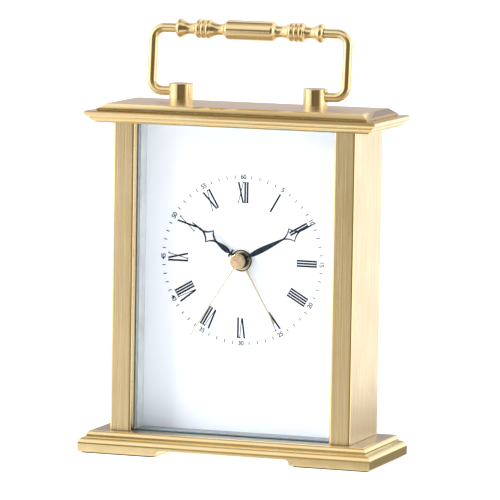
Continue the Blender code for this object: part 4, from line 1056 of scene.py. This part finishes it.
BAIL_CORNER = 4.2 * MM
BAIL_LEAN = radians(-5)
BAIL_HEIGHT = 23.4 * MM
BAIL_END = 25.0 * MM
WIRE_RADIUS = 1.8 * MM
GRIP_RADII = (
    # distance from the middle and radius, in mm
    (8.6, 3.70), (9.3, 3.35), (9.9, 2.70), (10.5, 2.32), (12.2, 2.15), (13.6, 2.38), (14.9, 2.90),
    (15.7, 3.45), (16.3, 3.65), (16.9, 3.45), (17.2, 3.12), (17.6, 3.50), (18.2, 3.65), (18.8, 3.50),
    (19.1, 3.12), (19.5, 3.50), (20.1, 3.65), (20.9, 3.30), (21.5, 2.45), (22.4, 2.20), (24.0, 2.10),
    (25.2, 2.45), (26.3, 3.10), (27.1, 3.55), (27.7, 3.60), (28.4, 3.25), (28.8, 2.70),
)


def smooth_through(points, steps):
    """A Catmull-Rom curve through the points."""
    vectors = [Vector(p) for p in points]
    made = []
    for i in range(len(vectors) - 1):
        before, start = vectors[max(i - 1, 0)], vectors[i]
        end, after = vectors[i + 1], vectors[min(i + 2, len(vectors) - 1)]
        for k in range(steps):
            t = k / steps
            curve = 2 * start + (end - before) * t
            curve += (2 * before - 5 * start + 4 * end - after) * t * t
            curve += (3 * start - before - 3 * end + after) * t**3
            made.append(tuple(curve / 2))
    return made + [tuple(vectors[-1])]


def on_pivot(mesh):
    """A handle piece, modelled about its pivot, leaned and put in place."""
    return moved(mesh, Matrix.Rotation(BAIL_LEAN, 4, "X"), PIVOT)


POST_EDGE = 0.35 * MM
POST_BORE = 1.93 * MM
POST_BORE_SPAN = (24.4 * MM, 33 * MM)


def make_posts():
    for name in ("handle_post_left", "handle_post_right"):
        low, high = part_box(name)
        low.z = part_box("top_plate")[1].z - LIP
        radius, height = (high.x - low.x) / 2, high.z - low.z
        side = copysign(1, low.x)
        profile = [(0, height), (radius - POST_EDGE, height)]
        profile += quadratic(profile[-1], (radius, height), (radius, height - POST_EDGE), 5)
        profile += [(radius, 0), (0, 0)]
        post = moved(turned(name, profile, 128), at=((low.x + high.x) / 2, 0, low.z))
        bore = rod("bore", POST_BORE, *POST_BORE_SPAN, 48)
        moved(bore, Matrix.Scale(side, 4, (1, 0, 0)) @ SIDEWAYS, (0, 0, PIVOT.z))
        if side < 0:
            bore.flip_normals()
        made = carved(name, post, bore)
        piece(f"post_{name[12:]}", made, HANDLE_BRASS, "case", "polished_brass", name)


def make_bail():
    half_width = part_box("handle_bail")[1].x - WIRE_RADIUS
    straight = half_width - BAIL_CORNER
    half = [(BAIL_END, 0)] + arc((straight, BAIL_CORNER), BAIL_CORNER, -90, 0, 20)
    half += arc((straight, BAIL_HEIGHT - BAIL_CORNER), BAIL_CORNER, 0, 90, 20)
    route = [(-x, 0, z) for x, z in half] + [(x, 0, z) for x, z in reversed(half)]
    mesh = on_pivot(tube("bail", route, WIRE_RADIUS))
    piece("bail_wire", mesh, HANDLE_BRASS, "handle", "polished_brass", "handle_bail")


def make_grip():
    outer = [(r * MM, h * MM) for h, r in smooth_through(GRIP_RADII, 4)]
    bore = WIRE_RADIUS + 0.1 * MM
    end = GRIP_RADII[-1][0] * MM
    profile = list(reversed(outer)) + [(r, -h) for r, h in outer] + [(bore, -end), (bore, end)]
    mesh = turned("grip", profile, 96, closed=True)
    on_pivot(moved(mesh, SIDEWAYS, (0, 0, BAIL_HEIGHT)))
    piece("turned_grip", mesh, HANDLE_BRASS, "handle", "polished_brass", "handle_grip")


# Back


WINDOW_GAP = 0.4 * MM
BACK_SCREW_HOLE = 0.95 * MM


def make_back_panel():
    window = front_outline("movement_housing", WINDOW_GAP)
    screws = [middle(f"back_screw_{number}") - DIAL_CENTRE for number in range(1, 5)]
    holes = [circle(BACK_SCREW_HOLE, 24, (at.x, at.z)) for at in screws]
    loops = [rounded(front_outline("back_panel"), 0.6 * MM), rounded(window, 0.8 * MM, 6)] + holes
    mesh = on_dial(plate("back", loops, extent("back_panel").y, 0.12 * MM), middle("back_panel").y)
    piece("rear_panel", mesh, SATIN, "case", "satin_brass", "back_panel")


SCREWS = {
    # look, slot, turn, shank radius, height of the head
    "back_screw": (POLISHED, "polished_brass", FRONT, 0.7 * MM, 1.0 * MM),
    "tie_screw": (STEEL, "steel", None, 1.5 * MM, 2.3 * MM),
}
CROWN_ANGLES = (0, 0.3, 0.6, 0.9, 1.2, 1.45)
SCREW_DOME = 0.3 * MM
HALF_SLOT = 0.35 * MM


def screw_mesh(name, head_radius, head, shank_radius, length):
    """A slotted screw that points along local Z from the face of its head at 0."""
    profile = [(head_radius * sin(a), SCREW_DOME * (1 - cos(a))) for a in CROWN_ANGLES]
    profile += [(head_radius, SCREW_DOME + 0.05 * MM), (head_radius, head), (shank_radius, head)]
    profile += [(shank_radius, length - 0.4 * MM), (shank_radius - 0.3 * MM, length), (0, length)]
    body = turned(name, profile, 48)
    reach = 3 * head_radius
    slot = block("slot", (-reach, -HALF_SLOT, -MM), (reach, HALF_SLOT, 0.55 * head), 0.02 * MM, 1)
    return carved(name, body, slot)


def make_screws():
    for name, (look, slot, turn, shank, head) in SCREWS.items():
        for number in range(1, 5):
            node = f"{name}_{number}"
            low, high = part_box(node)
            size, start = high - low, middle(node)
            if turn:
                start.y = high.y
            else:
                start.z = low.z
            mesh = screw_mesh(node, size.x / 2, head, shank, size.y if turn else size.z)
            mesh.transform(Matrix.Rotation(0.6 + 1.1 * number, 4, "Z"))
            piece(f"{node}_slotted", moved(mesh, turn, start), look, "case", slot, node)


HOUSING_WALL = 1.2 * MM
PARTITION_DROP = 15.9 * MM
HALF_PARTITION = 0.5 * MM
BAY_SIDE = 2.0 * MM
BAY_CLEARANCE = 0.25 * MM
HALF_SWITCH_SLOT = (1.5 * MM, 2.1 * MM)
HALF_SLIT = (0.45 * MM, 2.5 * MM)
SLIT_PITCH = 2.0 * MM
ARBOR_HOLE = 0.75 * MM


def make_movement():
    """The housing: a shell with a partition, battery bay, switch slot, sound slits and knob holes."""
    low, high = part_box("movement_housing")
    wall = HOUSING_WALL
    inside, outside = high.y - 3 * MM, high.y + MM

    def rear_opening(name, x, z, half_x, half_z, radius=0.3 * MM):
        return block(name, (x - half_x, inside, z - half_z), (x + half_x, outside, z + half_z), radius)

    shell = block("housing", low, high, 0.7 * MM)
    hollow_high = (high.x - wall, high.y - wall, high.z - wall)
    hollow = block("hollow", (low.x + wall, low.y - MM, low.z + wall), hollow_high, 0.2 * MM, 1)
    partition_z = DIAL_CENTRE.z - PARTITION_DROP
    partition = block(
        "partition",
        (low.x + wall / 2, low.y + 0.1 * MM, partition_z - HALF_PARTITION),
        (high.x - wall / 2, high.y - wall / 2, partition_z + HALF_PARTITION),
        0.05 * MM,
        1,
    )
    half_bay = extent("battery").z / 2 + BAY_CLEARANCE
    cuts = [rear_opening("bay", 0, middle("battery").z, high.x - BAY_SIDE, half_bay, 0.5 * MM)]
    switch = middle("alarm_switch")
    half_travel = joint("alarm_slide")["range_m"][1] / 2
    half_x, half_z = HALF_SWITCH_SLOT
    cuts.append(rear_opening("switch_slot", switch.x, switch.z - half_travel, half_x, half_z + half_travel))
    buzzer = middle("alarm_buzzer")
    for index in range(-2, 3):
        cuts.append(rear_opening("slit", buzzer.x + index * SLIT_PITCH, buzzer.z, *HALF_SLIT))
    for knob in (middle("time_set_knob"), middle("alarm_set_knob")):
        hole = rod("hole", ARBOR_HOLE, -2 * MM, 2 * MM, 32)
        cuts.append(moved(hole, FRONT, (knob.x, high.y, knob.z)))
    made = carved("housing", shell, hollow)
    made = carved("housing", made, partition, operation="UNION")
    made = carved("housing", made, *cuts)
    piece("movement_case", made, BLACK_PLASTIC, "case", "black_plastic", "movement_housing")


SCALLOPS = 24
SCALLOP_DEPTH = 0.35 * MM
SCALLOP_STEPS = 8
DISH = [(0, 0.5 * MM), (3.4 * MM, 0.5 * MM), (3.1 * MM, -0.35 * MM), (0, -0.35 * MM)]
ARROW_RADII = (2.35 * MM, 1.85 * MM)
ARROW_HEAD = [(2.9 * MM, -0.8 * MM), (1.3 * MM, -0.8 * MM), (2.0 * MM, -2.0 * MM)]
ARROW_HEIGHT = 0.3 * MM


def knob_rings(radius, half):
    """The rings of a scalloped knob, from its front to its softened back."""
    heights = [(-half, 0.3 * MM), (-half + 0.3 * MM, 0), (half - 0.6 * MM, 0)]
    heights += [(half - 0.15 * MM, 0.15 * MM), (half, 0.55 * MM)]
    count = SCALLOPS * SCALLOP_STEPS
    angles = [2 * pi * i / count for i in range(count)]
    rings = []
    for height, inset in heights:
        radii = [radius - inset - SCALLOP_DEPTH * (1 + cos(SCALLOPS * a)) / 2 for a in angles]
        rings.append([(r * cos(a), r * sin(a), height) for r, a in zip(radii, angles)])
    return rings


def make_knobs():
    for name, body in (("time_set_knob", "motion_wheel"), ("alarm_set_knob", "alarm_setting")):
        low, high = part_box(name)
        half = (high.y - low.y) / 2
        knob = loft(name, knob_rings((high.x - low.x) / 2, half))
        dish = turned("dish", rounded(DISH, 0.2 * MM, closed=False), 64)
        knob = carved(name, knob, moved(dish, at=(0, 0, half)))
        back = Matrix.Rotation(pi, 4, "Z") @ FRONT
        at = middle(name)
        piece(f"{name}_moulded", moved(knob, back, at), BLACK_PLASTIC, body, "black_plastic", name)
        outer, inner = ARROW_RADII
        arrow = arc((0, 0), outer, 200, -20, 20) + arc((0, 0), inner, -20, 200, 20)
        parts = [plate(f"arrow_{i}", [loop], ARROW_HEIGHT) for i, loop in enumerate((arrow, ARROW_HEAD))]
        mark = moved(joined("arrow", *parts), at=(0, 0, half - ARROW_HEIGHT))
        piece(f"{name}_arrow", moved(mark, back, at), MARK_PLASTIC, body, "white_plastic")


SLIDER_FOOT = 1.1 * MM
HALF_TONGUE = (1.2 * MM, 1.8 * MM)
HALF_GROOVE = 0.22 * MM
GROOVE_DEPTH = 0.35 * MM


def make_switch():
    low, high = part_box("alarm_switch")
    centre = middle("alarm_switch")
    foot = block("slider", low, (high.x, low.y + SLIDER_FOOT, high.z), 0.15 * MM)
    across, up = HALF_TONGUE
    tongue_low = (centre.x - across, low.y + 0.5 * MM, centre.z - up)
    tongue = block("tongue", tongue_low, (centre.x + across, high.y, centre.z + up), 0.25 * MM)
    cuts = []
    for z in (centre.z - MM, centre.z, centre.z + MM):
        groove_low = (low.x, high.y - GROOVE_DEPTH, z - HALF_GROOVE)
        cuts.append(block("groove", groove_low, (high.x, high.y + MM, z + HALF_GROOVE), 0.05 * MM, 1))
    slider = joined("switch", foot, carved("tongue", tongue, *cuts))
    piece("switch_slider", slider, WHITE_PLASTIC, "alarm_slider", "white_plastic", "alarm_switch")


NUB_HEIGHT = 1.1 * MM
NUB_RADIUS = 2.7 * MM
NUB_EDGE = 0.25 * MM
JACKET_EDGE = (1.0 * MM, 0.5 * MM)


def make_battery():
    low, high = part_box("battery")
    radius = (high.z - low.z) / 2
    end = high.x - low.x
    length = end - NUB_HEIGHT
    inset, reach = JACKET_EDGE
    jacket = [(radius, length - reach), (radius, reach)]
    profile = [(0, end), (NUB_RADIUS - NUB_EDGE, end), (NUB_RADIUS, end - NUB_EDGE), (NUB_RADIUS, length)]
    profile += [(radius - inset, length)]
    profile += quadratic(profile[-1], (radius, length), jacket[0], 4)
    profile += [jacket[1]] + quadratic(jacket[1], (radius, 0), (radius - inset, 0), 4) + [(0, 0)]
    mesh = turned("cell", profile, 96)
    paint_faces(mesh, 1, lambda normal, centre: abs(normal.z) > 0.7)
    centre = middle("battery")
    moved(mesh, SIDEWAYS, (low.x, centre.y, centre.z))
    piece("cell_jacket", mesh, [JACKET, STEEL], "battery_cell", "battery_jacket", "battery")


# CAD pieces that keep their shape

KEPT = {
    BLACK_PLASTIC: "movement_front_plate control_chip",
    WHITE_PLASTIC: "coil_bobbin hour_wheel minute_wheel third_wheel fifth_wheel alarm_wheel alarm_pinion",
    SATIN: "centre_wheel centre_bush dial_nut alarm_buzzer",
    STEEL: "post_screw_left post_screw_right quartz_crystal coil_core stator_plate second_arbor",
    SPRING: "battery_contact_positive battery_contact_negative",
    COPPER: "coil_winding",
    BOARD: "circuit_board",
    MAGNET: "motor_rotor",
}


def paint_kept_nodes():
    for look, names in KEPT.items():
        for name in names.split():
            mesh = frame["nodes"][name].data
            mesh.materials.clear()
            mesh.materials.append(look)


# Studio

WHITE = 1.2
SOFT_LIGHT = (0.86, 0.88, 0.925)  # what paint and paper receive
WORLD_ZONES = (
    # azimuth and elevation in degrees, inner and outer radius in degrees, colour
    (-66, 12, 8, 32, (2.2, 2.2, 2.1)),
    (94, 8, 10, 27, (2.3, 2.3, 2.2)),
    (160, 14, 14, 46, (1.33, 1.42, 1.38)),
    (-160, 8, 14, 40, (0.60, 0.55, 0.56)),
    (0, 90, 6, 40, (0.46, 0.40, 0.30)),
    (-120, 67, 2, 9, (0.12, 0.10, 0.07)),
    (107, 4, 3, 9, (0.95, 0.66, 0.40)),
    (30, 8, 22, 42, (0.21, 0.175, 0.11)),
    (-14, 6, 4, 17, (0.23, 0.20, 0.13)),
    (-6, -4, 5, 16, (0.12, 0.10, 0.06)),
    (0, -35, 8, 26, (0.42, 0.36, 0.28)),
)


def make_world():
    """A white room. Metal sees soft darker zones in it, as it would see the dark side of a studio."""
    world = bpy.data.worlds.new("studio")
    bpy.context.scene.world = world
    world.use_nodes = True
    nodes = Nodes(world.node_tree)
    towards = nodes.add("ShaderNodeTexCoord").outputs["Generated"]
    colour = (WHITE, WHITE, WHITE)
    for azimuth, elevation, inner, outer, zone in WORLD_ZONES:
        axis = tuple(direction(radians(azimuth), radians(elevation)))
        dot = nodes.add("ShaderNodeVectorMath", {0: towards, 1: axis}, operation="DOT_PRODUCT")
        far, near = cos(radians(outer)), cos(radians(inner))
        inputs = {"Value": dot.outputs["Value"], "From Min": far, "From Max": near}
        share = nodes.add("ShaderNodeMapRange", inputs, interpolation_type="SMOOTHSTEP")
        colour = nodes.blend(share.outputs["Result"], colour, zone)
    seen = nodes.add("ShaderNodeLightPath").outputs["Is Glossy Ray"]
    colour = nodes.blend(seen, SOFT_LIGHT, colour)
    background = nodes.add("ShaderNodeBackground", {"Color": colour, "Strength": 1.0})
    nodes.add("ShaderNodeOutputWorld", {"Surface": background.outputs[0]})


def make_lamp(name, azimuth, elevation, distance, size, power):
    data = bpy.data.lights.new(name, "AREA")
    data.energy = power
    data.size = size
    lamp = linked(name, data)
    back = direction(radians(azimuth), radians(elevation))
    lamp.location = CAMERA_AIM + back * distance
    lamp.rotation_euler = back.to_track_quat("Z", "Y").to_euler()
    lamp.visible_glossy = False


CARDS = (
    # azimuth and distance of the middle, its height, width and height of the card, colour; metres and degrees
    (-7, 0.353, 0.027, 0.185, 0.115, (0.46, 0.42, 0.30)),
    (142.5, 0.178, -0.018, 0.140, 0.034, (0.34, 0.31, 0.23)),
)


def make_cards():
    """Dark cards round the clock, which its polished sides mirror."""
    for number, (azimuth, distance, height, width, tall, colour) in enumerate(CARDS, 1):
        name = f"dark_card_{number}"
        made, nodes = material(name)
        nodes.finish(nodes.add("ShaderNodeEmission", {"Color": colour}).outputs[0])
        mesh = plate(name, [rectangle((-width / 2, -tall / 2), (width / 2, tall / 2))], MM)
        turn = Matrix.Rotation(radians(azimuth), 4, "Z") @ FRONT
        at = direction(radians(azimuth), 0) * distance + Vector((0, 0, height))
        card = linked(name, moved(mesh, turn, at))
        card.data.materials.append(made)
        card.visible_camera = False
        card.visible_diffuse = False
        card.visible_transmission = False
        card.visible_shadow = False


FLOOR_GREYS = ((0.60, 0.60, 0.60), (0.64, 0.64, 0.64))
FLOOR_GLOW = 0.85
FLOOR_SIZE = 8


def make_floor():
    made, nodes = material("paper")
    fibres = nodes.noise(300, 4)
    colour = nodes.blend(fibres, *FLOOR_GREYS)
    glow = {"emission_color": (1.0, 1.0, 1.0), "emission_strength": FLOOR_GLOW}
    nodes.finish(surface(nodes, colour, 0.9, **glow))
    bm = bmesh.new()
    bmesh.ops.create_grid(bm, x_segments=1, y_segments=1, size=FLOOR_SIZE)
    floor = linked("floor", finish_mesh("floor", bm))
    floor.data.materials.append(made)
    floor.visible_glossy = False


def make_studio():
    make_world()
    make_floor()
    make_cards()
    make_lamp("key", azimuth=-58, elevation=25, distance=1.4, size=0.6, power=19)
    bpy.context.scene.view_settings.view_transform = "Standard"


def make_clock():
    make_base()
    make_felt()
    make_pillars()
    make_top()
    make_glass_and_dial()
    make_print()
    make_pierced_hand("hour_hand", "hour", HOUR_ANGLE)
    make_pierced_hand("minute_hand", "minute", MINUTE_ANGLE)
    make_needle("second_hand", "second", SECOND_ANGLE)
    make_needle("alarm_hand", "alarm", ALARM_ANGLE)
    make_alarm_rim()
    make_cap()
    make_posts()
    make_bail()
    make_grip()
    make_back_panel()
    make_screws()
    make_movement()
    make_knobs()
    make_switch()
    make_battery()
    paint_kept_nodes()


make_camera()
make_studio()
make_clock()
